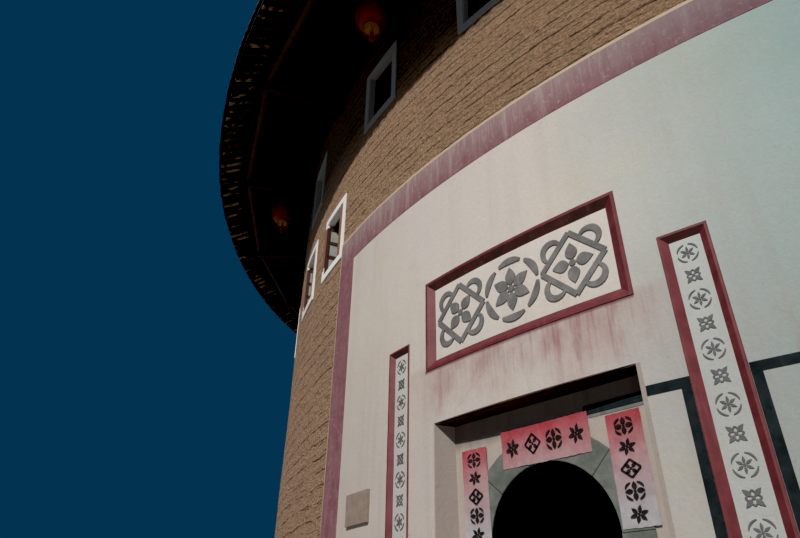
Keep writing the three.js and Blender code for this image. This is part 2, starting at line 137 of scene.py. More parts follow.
class Shade:
    """A Principled material built node by node; base is its colour so far."""

    def __init__(self, name, rough):
        self.mat = bpy.data.materials.new(name)
        self.mat.use_nodes = True
        self.tree = self.mat.node_tree
        self.bsdf = self.tree.nodes["Principled BSDF"]
        self.bsdf.inputs["Roughness"].default_value = rough
        self.co = self.add("TexCoord").outputs["Object"]
        self.x, self.y, self.z = (Value(self, out) for out in self.add("SeparateXYZ", {0: self.co}).outputs)

    def add(self, kind, ins=None, **props):
        node = self.tree.nodes.new("ShaderNode" + kind)
        for key, value in props.items():
            setattr(node, key, value)
        for key, value in (ins or {}).items():
            self.put(node.inputs[key], value)
        return node

    def put(self, socket, value):
        value = getattr(value, "socket", value)
        if isinstance(value, bpy.types.NodeSocket):
            self.tree.links.new(value, socket)
        elif isinstance(value, tuple) and len(value) == 3 and socket.type == "RGBA":
            socket.default_value = (*value, 1)
        else:
            socket.default_value = value

    def math(self, op, a, b=0):
        return Value(self, self.add("Math", {0: a, 1: b}, operation=op).outputs[0])

    def scale(self, size):
        return self.add("Mapping", {0: self.co, "Scale": size}).outputs[0]

    def noise(self, size, detail, rough=0.55, warp=0):
        """Cloudy noise; size is its fineness, one number or one for each axis."""
        vec, scale = (self.co, size) if isinstance(size, (int, float)) else (self.scale(size), 1)
        return Value(self, self.add("TexNoise", {"Vector": vec, "Scale": scale, "Detail": detail,
                                                 "Roughness": rough, "Distortion": warp}).outputs[0])

    def step(self, value, low, high, start=0, end=1):
        """From start at low and below to end at high and above."""
        node = self.add("MapRange", {0: value, 1: low, 2: high, 3: start, 4: end}, clamp=True)
        return Value(self, node.outputs[0])

    def mix(self, fac, a, b, mode="MIX"):
        return self.add("Mix", {0: fac, 6: a, 7: b}, data_type="RGBA", blend_type=mode).outputs[2]

    def over(self, mask, colour):
        """Lay a colour over the base as far as the mask goes."""
        self.base = self.mix(mask, self.base, colour)

    def tint(self, mask, colour):
        """Multiply the base by a colour as far as the mask goes."""
        self.over(mask, self.mix(1, self.base, colour, "MULTIPLY"))

    def finish(self, height, strength, distance):
        """Connect the base and a bump made of height."""
        self.put(self.bsdf.inputs["Base Color"], self.base)
        bump = self.add("Bump", {"Height": height, "Strength": strength, "Distance": distance})
        self.tree.links.new(bump.outputs[0], self.bsdf.inputs["Normal"])
        return self.mat


def earth(name):
    """Rammed earth: patchy, grainy, with broken dark joints between its courses."""
    s = Shade(name, 0.95)
    grain = s.noise((24, 24, 36), 6, 0.78)
    clods = s.noise((7, 7, 14), 5, 0.65)
    s.base = s.mix(s.noise((0.3, 0.3, 0.45), 3), (0.33, 0.194, 0.11), (0.465, 0.288, 0.175))
    s.over(s.step(s.noise((0.12, 0.12, 2.3), 2), 0.4, 0.62), (0.41, 0.257, 0.155))
    s.over(s.step(clods, 0.52, 0.7) * 0.4, (0.185, 0.11, 0.062))
    s.over(s.step(grain, 0.38, 0.56, 0.9, 0), (0.135, 0.077, 0.043))
    s.over(s.step(s.noise(30, 3, 0.7), 0.58, 0.68) * 0.55, (0.56, 0.42, 0.3))
    # painted light: brighter and bluer towards the left of the gate
    s.tint(s.step(s.x, 1, -6.5), (1.16, 1.19, 1.26))
    sway = s.noise((1, 1, 1.6), 8, 0.66)
    cracks = 0
    for courses, low, high, gate in ((4.3, 0.445, 0.485, 0.45), (8.7, 0.455, 0.49, 0.49)):
        run = s.z * courses + sway * (0.2 * courses)
        near = s.math("ABSOLUTE", s.math("FRACT", run) - 0.5)
        wide = (s.noise([v * courses for v in (3.2, 3.2, 7)], 6, 0.75) - 0.5) * 0.24
        broken = s.step(s.noise([v * courses for v in (0.46, 0.46, 1.2)], 5, 0.72), gate, gate + 0.07)
        cracks = s.math("MAXIMUM", cracks, s.step(near + wide, low, high) * broken)
    s.over(cracks * 0.92, (0.03, 0.014, 0.007))
    s.tint(s.step(s.z, 9.4, 10.2), (0.33, 0.41, 0.5))  # painted shade under the eave: darker and bluer above about 9.4 m
    return s.finish(grain * 0.55 + clods - cracks * 0.9, 1, 0.055)


def lime(name, tone, cool, dirt=1, rust_and_shade_from=None):
    """Lime plaster: tone left of the gate turns to cool on the right; above a height, rust streaks and
    painted shade darken it.
    """
    s = Shade(name, 0.72)
    big = s.noise((0.35, 0.35, 0.25), 3)
    streak = s.noise((5, 5, 0.22), 4, 0.6)
    mottle = s.noise(3, 5, 0.6)
    s.base = s.mix(s.step(s.x + (big - 0.5) * 1.6, 0.4, 3.6), tone, cool)
    s.tint(s.step(big, 0.4, 0.75), (0.93, 0.9, 0.86))
    foot = s.step(s.z, 3.2, 5.4, 1, 0)
    s.tint(foot, (0.86, 0.84, 0.85))
    s.over(s.step(streak, 0.5, 0.74) * (foot * (0.18 * dirt) + 0.12 * dirt), (0.33, 0.28, 0.24))
    s.tint(s.step(s.noise((0.9, 0.9, 1.1), 5, 0.6), 0.5, 0.72) * 0.45, (1.05, 0.96, 0.82))
    s.tint(s.step(s.noise(22, 6, 0.75), 0.42, 0.62, 1, 0.5), (0.9, 0.9, 0.9))
    s.over(s.step(mottle, 0.55, 0.8) * (0.2 * dirt), (0.42, 0.37, 0.31))
    # hair cracks low on the wall, and dark spots
    warp = s.add("TexNoise", {"Vector": s.co, "Scale": 3, "Detail": 4}).outputs[1]
    bent = s.add("Mix", {0: 0.1, 4: s.scale((1, 1, 0.6)), 5: warp}, data_type="VECTOR").outputs[1]
    cell = s.add("TexVoronoi", {"Vector": bent, "Scale": 1.15}, feature="DISTANCE_TO_EDGE").outputs[0]
    hair = s.step(cell, 0.002, 0.006, 1, 0) * s.step(s.noise(0.8, 3), 0.5, 0.56)
    s.over(hair * foot * 0.3, (0.26, 0.21, 0.17))
    s.over(s.step(s.noise(13, 3, 0.7), 0.68, 0.75) * (0.4 * dirt), (0.24, 0.19, 0.15))
    # red paint washed down from the tablet, and a painted shadow line right under its frame
    drip = s.step(s.noise((17, 17, 0.9), 6, 0.72), 0.48, 0.66)
    blots = s.step(s.noise((2, 2, 1.3), 5, 0.65), 0.38, 0.66)
    aside = s.math("ABSOLUTE", s.x)
    fall = s.step(s.z - (blots * -0.45 + 3.75), 0, 0.75) * s.step(s.z, 4.26, 4.34, 1, 0)
    place = fall * s.step(aside, 1.15, 1.8, 1, 0)
    s.over(place * (blots * 0.45 + 0.42), (0.365, 0.24, 0.236))
    s.over(drip * place * 0.62, (0.25, 0.085, 0.075))
    # painted shadow: a dark line under the tablet frame
    edge = s.step(s.z, 4.205, 4.232) * s.step(aside, 1.4, 1.385) * s.step(s.z, 4.252, 4.248)
    s.over(edge * 0.75, (0.085, 0.03, 0.028))
    # rust streaks and painted shade, dark above the given height
    if rust_and_shade_from:
        runs = s.noise((10, 10, 0.8), 5, 0.7)
        stain = s.mix(runs, (0.066, 0.055, 0.047), (0.2, 0.165, 0.14))
        s.over(s.step(runs * 0.16 + s.z, rust_and_shade_from, rust_and_shade_from + 0.14) * 0.86, stain)
    return s.finish(mottle * 1.4 + s.noise(34, 5, 0.6) * 0.6, 0.45, 0.01)


def faded_border(name):
    """Old red wash, bleached along its top edge; painted shade makes it greyer and darker on the right."""
    s = Shade(name, 0.75)
    fine = s.noise((30, 30, 2.4), 5, 0.75)
    wide = s.noise((5, 5, 0.4), 4, 0.6)
    mottle = s.noise(6, 6, 0.7)
    high = s.step(wide * 0.5 + s.z, 7.22, 7.7)
    s.base = s.mix(s.step(mottle, 0.32, 0.68), (0.185, 0.066, 0.082), (0.25, 0.115, 0.128))
    s.over(high * 0.7, (0.315, 0.235, 0.232))
    chalk = s.step(fine, 0.5, 0.66) * (high * 0.45 + 0.22)
    s.over(chalk * (s.step(s.x, 0.2, 2.8) * -0.62 + 1), (0.43, 0.36, 0.35))
    s.over(s.step(wide, 0.56, 0.7) * (high * 0.4 + 0.1), (0.45, 0.38, 0.37))
    s.over(s.step(s.noise(18, 4, 0.7), 0.58, 0.66) * 0.3, (0.5, 0.4, 0.37))
    # painted shade: darker and bluer towards the right
    s.tint(s.step(s.x, 0.8, 3.6), (0.55, 0.6, 0.66))
    return s.finish(mottle + s.noise(40, 4) * 0.4, 0.3, 0.008)


def paint(name, dark, light, chalk, rough=0.62, worn=1, gloss=0.5):
    """Old oil paint on plaster: uneven, rubbed along its edges and chalky in spots."""
    s = Shade(name, rough)
    s.bsdf.inputs["Specular IOR Level"].default_value = gloss
    mottle = s.noise(7, 5, 0.6)
    s.base = s.mix(s.step(mottle, 0.3, 0.72), dark, light)
    s.over(s.step(s.noise((14, 14, 1.6), 4, 0.6), 0.6, 0.75) * (0.3 * worn), chalk)
    s.over(s.step(s.noise(38, 4, 0.75), 0.66, 0.7) * (0.55 * worn), chalk)
    return s.finish(mottle + s.noise(50, 3) * 0.3, 0.25, 0.005)


def rock(name, dark, light, stain, size=6, grain_size=120, bump=0.45, shade_behind=None):
    """Mottled stone; what lies behind the y given as shade_behind is painted near black as shade."""
    s = Shade(name, 0.85)
    mottle = s.noise(size, 6, 0.65)
    grain = s.noise(grain_size, 3, 0.7)
    s.base = s.mix(s.step(mottle, 0.32, 0.68), dark, light)
    s.over(s.step(grain, 0.5, 0.7) * 0.45, tuple(0.5 * v for v in dark))
    s.over(s.step(s.noise(2.2, 4), 0.52, 0.72) * 0.5, stain)
    # painted shade, near black behind that y
    if shade_behind is not None:
        s.over(s.step(s.y, shade_behind, shade_behind + 0.02), (0.014, 0.013, 0.012))
    return s.finish(mottle + grain * 0.3, bump, 0.01)


UPRIGHT, EVEN = (26, 26, 1.3), (9, 9, 9)  # how the grain of wood is drawn out


def wood(name, dark, light, grey, rough=0.72, stretch=UPRIGHT, rim=None):
    """Weathered timber; some ends beyond the radius rim are bleached."""
    s = Shade(name, rough)
    grain = s.noise(stretch, 5, 0.65, 0.4)
    s.base = s.mix(s.step(grain, 0.3, 0.7), dark, light)
    s.over(s.step(s.noise(0.9, 3), 0.42, 0.7) * 0.55, grey)
    s.over(s.step(grain, 0.64, 0.74) * 0.6, tuple(0.35 * v for v in dark))
    if rim:
        reach = s.math("SQRT", s.x * s.x + s.y * s.y)
        pick = s.step(s.noise((2.6, 2.6, 0.1), 3, 0.7), 0.54, 0.6)
        s.over(pick * s.step(reach, rim, rim + 0.12), (0.25, 0.18, 0.125))
    return s.finish(grain, 0.45, 0.006)


def festival_paper(name, red_above):
    """Crimson at its top, bleached to pink and then to a bluish white lower down."""
    s = Shade(name, 0.7)
    mottle = s.step(s.noise(9, 5, 0.6), 0.3, 0.7)
    level = (s.noise((3, 3, 1.5), 4, 0.6) - 0.5) * 0.3 + s.z
    red = s.mix(mottle, (0.3, 0.02, 0.038), (0.4, 0.06, 0.08))
    pink = s.mix(mottle, (0.35, 0.185, 0.2), (0.43, 0.265, 0.28))
    pale = s.mix(mottle, (0.33, 0.315, 0.335), (0.42, 0.41, 0.43))
    s.base = s.mix(s.step(level, red_above - 0.85, red_above - 0.35), pale, pink)
    s.over(s.step(level, red_above - 0.36, red_above), red)
    s.over(s.step(s.noise(26, 4, 0.7), 0.62, 0.68) * 0.3, (0.48, 0.38, 0.39))
    return s.finish(s.noise((18, 18, 30), 3, 0.6) + mottle, 0.3, 0.006)


def clay(name):
    """Grey tiles that differ one from the next, with moss."""
    s = Shade(name, 0.82)
    cell = s.add("TexVoronoi", {"Vector": s.co, "Scale": 3.6}).outputs["Color"]
    mottle = s.noise(2, 5, 0.65)
    fine = s.noise(45, 4, 0.7)
    s.base = s.mix(s.step(mottle, 0.3, 0.7), (0.05, 0.046, 0.043), (0.125, 0.115, 0.105))
    s.base = s.mix(0.3, s.base, s.add("RGBToBW", {0: cell}).outputs[0], "SOFT_LIGHT")
    s.over(s.step(fine, 0.55, 0.72) * 0.35, (0.2, 0.185, 0.165))
    s.over(s.step(s.noise(0.6, 5, 0.6), 0.56, 0.7) * 0.35, (0.095, 0.1, 0.055))
    return s.finish(mottle + fine * 0.5, 0.4, 0.008)


# Materials: dark and light of each, then what weathering, painted light and painted shade lay over them
EARTH = earth("rammed_earth")
# the darker, cooler tone of this plaster on the right is painted shade
PLASTER = lime("lime_plaster", (0.635, 0.59, 0.55), (0.27, 0.392, 0.398))
DIRTY = lime("dirty_plaster", (0.44, 0.39, 0.355), (0.4, 0.39, 0.37), 1.6)
STAINED_SHADED_WALL = lime("stained_and_shaded_wall", (0.52, 0.46, 0.41), (0.46, 0.44, 0.41), 2, rust_and_shade_from=3.33)
# a brighter, bluer copy of the white: painted light on the window soffits
LIT_REVEAL_WHITE = lime("lit_soffit_white", (0.9, 0.93, 0.97), (0.9, 0.93, 0.97), 0.2)
WHITE = lime("white_surround", (0.9, 0.9, 0.9), (0.86, 0.88, 0.89), 0.4)
# a darker copy of the white surround: painted shade on the high windows, with some dust
SHADED_DUSTY_WHITE = lime("shaded_dusty_surround", (0.31, 0.325, 0.33), (0.31, 0.33, 0.34), 0.8)
CREAM = lime("cream_edge", (0.56, 0.44, 0.32), (0.46, 0.4, 0.31), 0.6)
TABLET_FIELD = lime("tablet_field", (0.68, 0.635, 0.59), (0.56, 0.56, 0.54), 0.9)
STRIP_FIELD = lime("strip_field", (0.6, 0.6, 0.575), (0.44, 0.52, 0.525), 0.7)
BORDER = faded_border("faded_border")
MAROON = paint("maroon_paint", (0.11, 0.016, 0.021), (0.19, 0.036, 0.043), (0.36, 0.2, 0.2), worn=0.6)
# rain stains and painted shade for the tablet's top bevel
STAINED_SHADED = paint("stained_and_shaded_bevel", (0.04, 0.016, 0.014), (0.105, 0.034, 0.031), (0.24, 0.17, 0.15))
BAND = paint("grey_band", (0.008, 0.012, 0.014), (0.024, 0.032, 0.036), (0.11, 0.12, 0.125),
             0.85, worn=0.6, gloss=0.15)
INK = paint("ink", (0.012, 0.012, 0.012), (0.026, 0.024, 0.024), (0.09, 0.07, 0.07),
            0.8, worn=0.6, gloss=0.15)
RELIEF = paint("grey_relief", (0.115, 0.11, 0.108), (0.215, 0.21, 0.205), (0.44, 0.42, 0.4), 0.7)
RELIEF_DARK = paint("dark_relief", (0.075, 0.082, 0.084), (0.135, 0.14, 0.14), (0.34, 0.34, 0.33), 0.7)
# near-black silk: painted shade under the eave
SILK = paint("lantern_silk", (0.1, 0.006, 0.005), (0.165, 0.012, 0.009), (0.26, 0.06, 0.035), 0.4)
GILT = paint("lantern_gilt", (0.24, 0.12, 0.028), (0.38, 0.21, 0.055), (0.44, 0.3, 0.12), 0.35)
FRINGE = paint("lantern_fringe", (0.24, 0.075, 0.012), (0.38, 0.15, 0.03), (0.42, 0.22, 0.07), 0.7)
GATE_STONE = ((0.105, 0.12, 0.108), (0.195, 0.205, 0.185), (0.055, 0.08, 0.062))
GREY_STONE = rock("arch_stone", *GATE_STONE)
# near black behind the stones' front face: painted shade
ARCH_STONE = rock("surround_stone", *GATE_STONE, shade_behind=BACK_Y - 0.008)
# near-black earth: painted shade in the gate passage
PASSAGE_SHADE = rock("passage_shade_earth", (0.01, 0.007, 0.005), (0.024, 0.016, 0.011), (0.007, 0.005, 0.004), 5, 60, 0.6)
PALE_STONE = rock("notice_slab", (0.25, 0.19, 0.155), (0.33, 0.26, 0.215), (0.2, 0.15, 0.12), 9, 160, 0.2)
FIELD_STONE = rock("field_stone", (0.16, 0.145, 0.12), (0.3, 0.28, 0.24), (0.12, 0.12, 0.09), 3.5, 60, 0.8)
MORTAR = rock("footing_mortar", (0.26, 0.24, 0.21), (0.36, 0.33, 0.29), (0.18, 0.17, 0.14), 5, 90, 0.7)
# near-black tile backs: painted shade under the eave
SHADED_TILE_BACKS = rock("shaded_tile_backs", (0.006, 0.005, 0.0045), (0.016, 0.013, 0.011), (0.005, 0.004, 0.0035),
            4, 60, 0.4)
PANE = rock("curtained_pane", (0.29, 0.32, 0.29), (0.42, 0.45, 0.41), (0.22, 0.25, 0.23), 5, 60, 0.05)
TIMBER = wood("old_fir", (0.05, 0.033, 0.022), (0.12, 0.08, 0.052), (0.14, 0.12, 0.1))
BOARDS = wood("fir_boards", (0.055, 0.037, 0.025), (0.13, 0.09, 0.06), (0.15, 0.13, 0.11), 0.75, EVEN)
# near-black purlin and rafters: painted shade under the eave; some rafter ends past the rim are bleached
POLE = wood("purlin_pole", (0.03, 0.018, 0.013), (0.064, 0.04, 0.029), (0.056, 0.04, 0.03), 0.8, EVEN)
RAFTER = wood("rafter_fir", (0.022, 0.014, 0.01), (0.058, 0.038, 0.026), (0.08, 0.062, 0.046),
              0.8, EVEN, rim=17.05)
BRACKET = wood("bracket_fir", (0.018, 0.009, 0.006), (0.045, 0.024, 0.016), (0.045, 0.032, 0.024), 0.75, EVEN)
SOFFIT = wood("recess_soffit", (0.026, 0.018, 0.014), (0.06, 0.044, 0.034), (0.08, 0.066, 0.054), 0.8, EVEN)
CASEMENT = wood("casement_wood", (0.19, 0.08, 0.044), (0.36, 0.165, 0.092), (0.26, 0.165, 0.11), 0.6)
SASH = wood("dark_sash", (0.03, 0.008, 0.006), (0.085, 0.024, 0.017), (0.06, 0.03, 0.024), 0.6)
TILE = clay("clay_tile")
PAPER_SIDE = festival_paper("side_paper", 3.24)
PAPER_OVER = festival_paper("over_paper", 3.34)


# Mesh kit
def piece(name, verts, faces, mats, slot, stands_for=(), soft=None, index=None, fix=True):
    """A visible piece; soft smooths it, with sharp edges kept where it turns by more than that angle."""
    mesh = bpy.data.meshes.new(name)
    mesh.from_pydata(verts, [], faces)
    for m in mats if isinstance(mats, list) else [mats]:
        mesh.materials.append(m)
    if index:
        mesh.polygons.foreach_set("material_index", index)
    if soft:
        mesh.polygons.foreach_set("use_smooth", [True] * len(mesh.polygons))
    bm = bmesh.new()
    bm.from_mesh(mesh)
    if fix:
        bmesh.ops.recalc_face_normals(bm, faces=bm.faces)
    for e in bm.edges if soft else ():
        e.smooth = len(e.link_faces) == 2 and e.calc_face_angle(0) < radians(soft)
    bm.to_mesh(mesh)
    bm.free()
    obj = add_object(name, mesh)
    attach(obj, "root")
    if stands_for:
        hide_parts(stands_for)
    return obj


def bevel(obj, width):
    mod = obj.modifiers.new("edge", "BEVEL")
    mod.width, mod.segments, mod.limit_method = width, 2, "ANGLE"
    mod.angle_limit = radians(35)


class Build:
    """Collects swept shapes into one mesh."""

    def __init__(self):
        self.verts, self.faces, self.index = [], [], []

    def loft(self, rings, mat=0, closed=False, wrap=True, caps=(True, True)):
        """Faces between neighbouring rings of points; rings wrap round unless told otherwise.
        A closed row of rings meets its own start, an open one has caps."""
        m, n, first = len(rings), len(rings[0]), len(self.verts)
        faces = [(i * n + j, i * n + (j + 1) % n, (i + 1) % m * n + (j + 1) % n, (i + 1) % m * n + j)
                 for i in range(m if closed else m - 1) for j in range(n if wrap else n - 1)]
        ends = (range(n - 1, -1, -1), range((m - 1) * n, m * n))
        faces += [end for end, there in zip(ends, caps) if there and not closed]
        self.verts += [point for ring in rings for point in ring]
        self.faces += [[first + v for v in face] for face in faces]
        self.index += [mat] * len(faces)

    def prism(self, plan, z0, z1, mat=0):
        self.loft([[(x, y, z) for x, y in plan] for z in (z0, z1)], mat)

    def block(self, angle, r0, r1, half, z0, z1, mat=0):
        """A box across the ring at an angle."""
        c, s = cos(radians(angle)), sin(radians(angle))
        corners = ((-half, r1), (half, r1), (half, r0), (-half, r0))
        self.prism([(x * c + r * s, x * s - r * c) for x, r in corners], z0, z1, mat)

    def bent(self, angle, x0, x1, z0, z1, d0, d1, mat=0, steps=1):
        """A block following the wall: x along it from an angle, d outwards from the earth face."""
        rings = []
        for k in range(steps + 1):
            a = angle + degrees((x0 + (x1 - x0) * k / steps) / ARC_R)
            rings.append([(*polar(wall_r(z) + d, a), z) for z, d in ((z0, d0), (z0, d1), (z1, d1), (z1, d0))])
        self.loft(rings, mat)

    def done(self, name, mats, slot, **words):
        return piece(name, self.verts, self.faces, mats, slot, index=self.index, **words)


def spread(values, step):
    """Sorted breakpoints, filled in so that no gap is wider than step."""
    values = sorted(set(round(v, 5) for v in values))
    full = [values[0]]
    for v in values[1:]:
        start = full[-1]
        n = max(1, ceil((v - start) / step - 1e-6))
        full += [start + (v - start) * k / n for k in range(1, n + 1)]
    return full


def shell(name, mats, slot, angles, heights, r_out, r_in, holes=(), cell=(1, 0.5), z_in=None, move=None,
          **words):
    """A closed curved panel with rectangular holes in angle and height; r_out and r_in take (angle, z),
    move shifts the angle of a vertex and z_in its inner height."""
    cols = spread([*angles, *(v for h in holes for v in h[:2])], cell[0])
    rows = spread([*heights, *(v for h in holes for v in h[2:])], cell[1])
    solid, verts, ids, faces = set(), [], {}, []
    for i, z in enumerate(zip(rows, rows[1:])):
        for j, a in enumerate(zip(cols, cols[1:])):
            if not any(h[0] < sum(a) / 2 < h[1] and h[2] < sum(z) / 2 < h[3] for h in holes):
                solid.add((i, j))

    def vert(i, j, inner=False):
        if (i, j, inner) not in ids:
            z = rows[i]
            a = move(cols[j], z) if move else cols[j]
            r = (r_in if inner else r_out)(a, z)
            ids[i, j, inner] = len(verts)
            verts.append((*polar(r, a), z_in(z) if inner and z_in else z))
        return ids[i, j, inner]

    for i, j in sorted(solid):
        ring = ((i, j), (i, j + 1), (i + 1, j + 1), (i + 1, j))
        faces.append([vert(*c) for c in ring])
        faces.append([vert(*c, True) for c in reversed(ring)])
        for k, (di, dj) in enumerate(((-1, 0), (0, 1), (1, 0), (0, -1))):
            if (i + di, j + dj) not in solid:
                a, b = ring[k], ring[(k + 1) % 4]
                faces.append([vert(*b), vert(*a), vert(*a, True), vert(*b, True)])
    return piece(name, verts, faces, mats, slot, **words)


# Earth wall
def lumps(a, z):
    """Gentle unevenness of the rammed face."""
    x, y = polar(ARC_R, a)
    return (0.01 * noise.noise(Vector((x, y, z)) * 0.9) +
            0.006 * noise.noise(Vector((x, y, z * 2.2)) * 3.1))


def earth_out(a, z):
    return wall_r(z) - 0.006 + lumps(a, z)


POCKETS = []
for t in TABLETS:
    w = half_angle(t.half, WALL_R)
    POCKETS.append((t.angle - w, t.angle + w, t.low, t.high))


def sunk_out(a, z):
    """The outer face with the tablets' pockets pressed in."""
    for (a0, a1, z0, z1), t in zip(POCKETS, TABLETS):
        if a0 - 0.002 < a < a1 + 0.002 and z0 - 0.002 < z < z1 + 0.002:
            return wall_r(z) + t.back - 0.001
    return earth_out(a, z)


def earth_in(a, z):
    return next((r for r, top in zip(INNER_R, LEDGES) if z < top), INNER_R[-1])


# where the outer and inner faces meet the roof; inner rows over the windows rise with it
HEAD_FROM = 11.4
HEAD_R = (WALL_R - BATTER * (EAVE_UNDER + EAVE_R * SLOPE)) / (1 - BATTER * SLOPE)
HEAD_Z = under_roof(HEAD_R) - GAP
INNER_HEAD_Z = under_roof(INNER_R[-1]) - GAP


def head_lift(z):
    more = max(0, z - HEAD_FROM)
    return z - more + more * (INNER_HEAD_Z - HEAD_FROM) / (HEAD_Z - HEAD_FROM)


def mirror(angles):
    return sorted({v for a in angles for v in (a, -a) if v > -180})


SIDES_AND_BACK = [24] + [36 + BAY * i for i in range(13)]
LOW_AT = mirror([17.26] + SIDES_AND_BACK)
HIGH_AT = mirror([0, 10.54] + SIDES_AND_BACK)
WINDOWS = [(a, *LOW) for a in LOW_AT] + [(a, *HIGH) for a in HIGH_AT]


def holes_between(a0, a1):
    found = []
    for a, z0, z1 in WINDOWS:
        w = half_angle(WINDOW_HALF, wall_r((z0 + z1) / 2))
        found += [(turn - w, turn + w, z0, z1) for turn in (a, a + 360) if a0 < turn < a1]
    return found


LEDGE_ROWS = [z + d for z in LEDGES for d in (-0.0005, 0.0005)]
ROWS = [PLINTH_TOP, *LEDGE_ROWS, HEAD_FROM, HEAD_Z]


def steep(low, high):
    """Breakpoints that give a pocket steep edges."""
    return low - 0.003, low, high, high + 0.003


SINK_ANGLES = [v for p in POCKETS for v in steep(*p[:2])]
SINK_ROWS = [v for p in POCKETS for v in steep(*p[2:])]


def earth_segment(node, angles, rows=ROWS, out=earth_out, extra=()):
    shell("v_" + node, EARTH, "earth", angles, rows, out, earth_in,
          [*holes_between(min(angles), max(angles)), *extra], (0.75, 0.2), z_in=head_lift,
          soft=30, stands_for=node)


for k, (a0, a1) in enumerate(zip(SPLITS, SPLITS[1:]), 1):
    earth_segment(f"wall_right_{k}", (a0, a1))
    earth_segment(f"wall_left_{k}", (-a1, -a0))
earth_segment("wall_back", (SPLITS[-1], 360 - SPLITS[-1]))


# Beside and over the gate: the recess goes right through here and is lined afterwards
EDGE = half_angle(BACK_HALF, 15.2)
DOOR_BACK = BACK_Y + BACK_THICK
CHEEK_X = 1.345


def inner_y(x):
    return -sqrt(INNER_R[0] ** 2 - x * x)


def gate_segment(node, side):
    """The wall beside the gate, with the splayed cheek of the recess and the side of the passage."""
    a0, a1 = sorted((side * SPLITS[0], side * EDGE))
    low = sorted((side * half_angle(1.3 + 0.028 * side, ARC_R), side * (EDGE - 0.001)))
    earth_segment(node, [a0, a1, *(v for v in SINK_ANGLES if a0 < v < a1)], [*ROWS, *SINK_ROWS], sunk_out,
                  [(*low, 0, RECESS_TOP)])
    cheek, rings = Build(), []
    for z in (0, RECESS_TOP):
        front = -sqrt((wall_r(z) - 0.012) ** 2 - CHEEK_X ** 2)
        plan = ((CHEEK_X, front), (BACK_HALF, BACK_Y), (BACK_HALF, DOOR_BACK), (0.95, DOOR_BACK),
                (0.95, inner_y(0.95)), (CHEEK_X, inner_y(CHEEK_X)))
        rings.append([(GATE_X + side * x, y, z) for x, y in plan])
    cheek.loft(rings)
    cheek.done(node + "_cheek", PASSAGE_SHADE, "earth")


gate_segment("wall_gate_right", 1)
gate_segment("wall_gate_left", -1)
earth_segment("wall_over_gate", [-EDGE, EDGE],
              [RECESS_TOP, 4, *LEDGE_ROWS[2:], *SINK_ROWS[:4], HEAD_FROM, HEAD_Z], sunk_out)
bridge = Build()
bridge.prism([(GATE_X + x, y) for x, y in ((-1.18, inner_y(1.2)), (-1.18, DOOR_BACK), (1.18, DOOR_BACK),
                                           (1.18, inner_y(1.2)))], 3.32, RECESS_TOP + 0.02)
bridge.done("wall_over_passage", PASSAGE_SHADE, "earth")


# Footing of field stones
def foot_r(z):
    return FOOT_R - FOOT_LOSS * z / PLINTH_TOP


def stone(build, rng, a0, a1, z0, z1):
    """One faced stone: an eight-sided outline, proud and a little domed."""
    ca, cz = (a0 + a1) / 2, (z0 + z1) / 2
    ha, hz = (a1 - a0) / 2, (z1 - z0) / 2
    inset = 1 - rng.uniform(0.25, 0.5)
    ring = [(-1, -inset), (-inset, -1), (inset, -1), (1, -inset),
            (1, inset), (inset, 1), (-inset, 1), (-1, inset)]
    ring = [(x * rng.uniform(0.88, 1), z * rng.uniform(0.86, 1)) for x, z in ring]
    proud = rng.uniform(0, 0.014)

    def layer(scale, out):
        heights = [max(z0, min(z1, cz + z * scale * hz)) for _, z in ring]
        return [(*polar(foot_r(z) + 0.005 + out, ca + x * scale * ha), z) for (x, _), z in zip(ring, heights)]

    build.loft([layer(1, -0.03), layer(0.97, 0.004 + proud), layer(0.72, 0.018 + proud)])


def footing(node, a0, a1):
    shell("v_" + node, MORTAR, "stone", (a0, a1), (0, PLINTH_TOP - GAP), lambda a, z: foot_r(z),
          lambda a, z: INNER_R[0], cell=(1, 0.45), soft=30, stands_for=node)
    rng = random.Random(int(a0 + 500))
    stones = Build()
    courses = (0, 0.27, 0.5, 0.71, PLINTH_TOP)
    for low, high in zip(courses, courses[1:]):
        a = a0 + 0.15
        while a < a1 - 0.9:
            b = min(a + rng.uniform(0.95, 1.9), a1 - 0.1)
            z0 = low + 0.012 + rng.uniform(0, 0.02)
            z1 = high - 0.01 - rng.uniform(0, 0.02)
            stone(stones, rng, a + 0.045, b - 0.045, z0, z1)
            a = b
    stones.done(node + "_stones", FIELD_STONE, "stone", soft=50)


GATE_EDGE = half_angle(1.33, 15.4)
footing("footing_right", GATE_EDGE, 180)
footing("footing_left", -180, -GATE_EDGE)


# Plaster front, painted border, recess lining
RECESS_A = (-half_angle(1.272, 15.29), half_angle(1.325, 15.29))
FINE = (0.35, 0.12)  # mesh cells of the skins


def skin(thick, rough=0.003, freq=0.8):
    return lambda a, z: wall_r(z) + thick + rough * noise.noise(Vector((*polar(15, a), z)) * freq)


def wall_face(a, z):
    return wall_r(z) + 0.001


def splay_edge(z, out):
    """Half width and y of the recess side where it meets the wall face, out from the earth."""
    half = RECESS_HALF
    for _ in range(4):
        y = -sqrt((wall_r(z) + out) ** 2 - half * half)
        half = BACK_HALF + (RECESS_HALF - BACK_HALF) * (BACK_Y - y) / (BACK_Y - GATE_Y)
    return half, y


def recess_side(a, z):
    """The plaster's opening follows the splayed sides of the recess."""
    for side, edge in zip((-1, 1), RECESS_A):
        if a == round(edge, 5) and z <= RECESS_TOP + 0.001:
            half, y = splay_edge(z, 0.024)
            return degrees(atan2(GATE_X + side * half, -y))
    return a


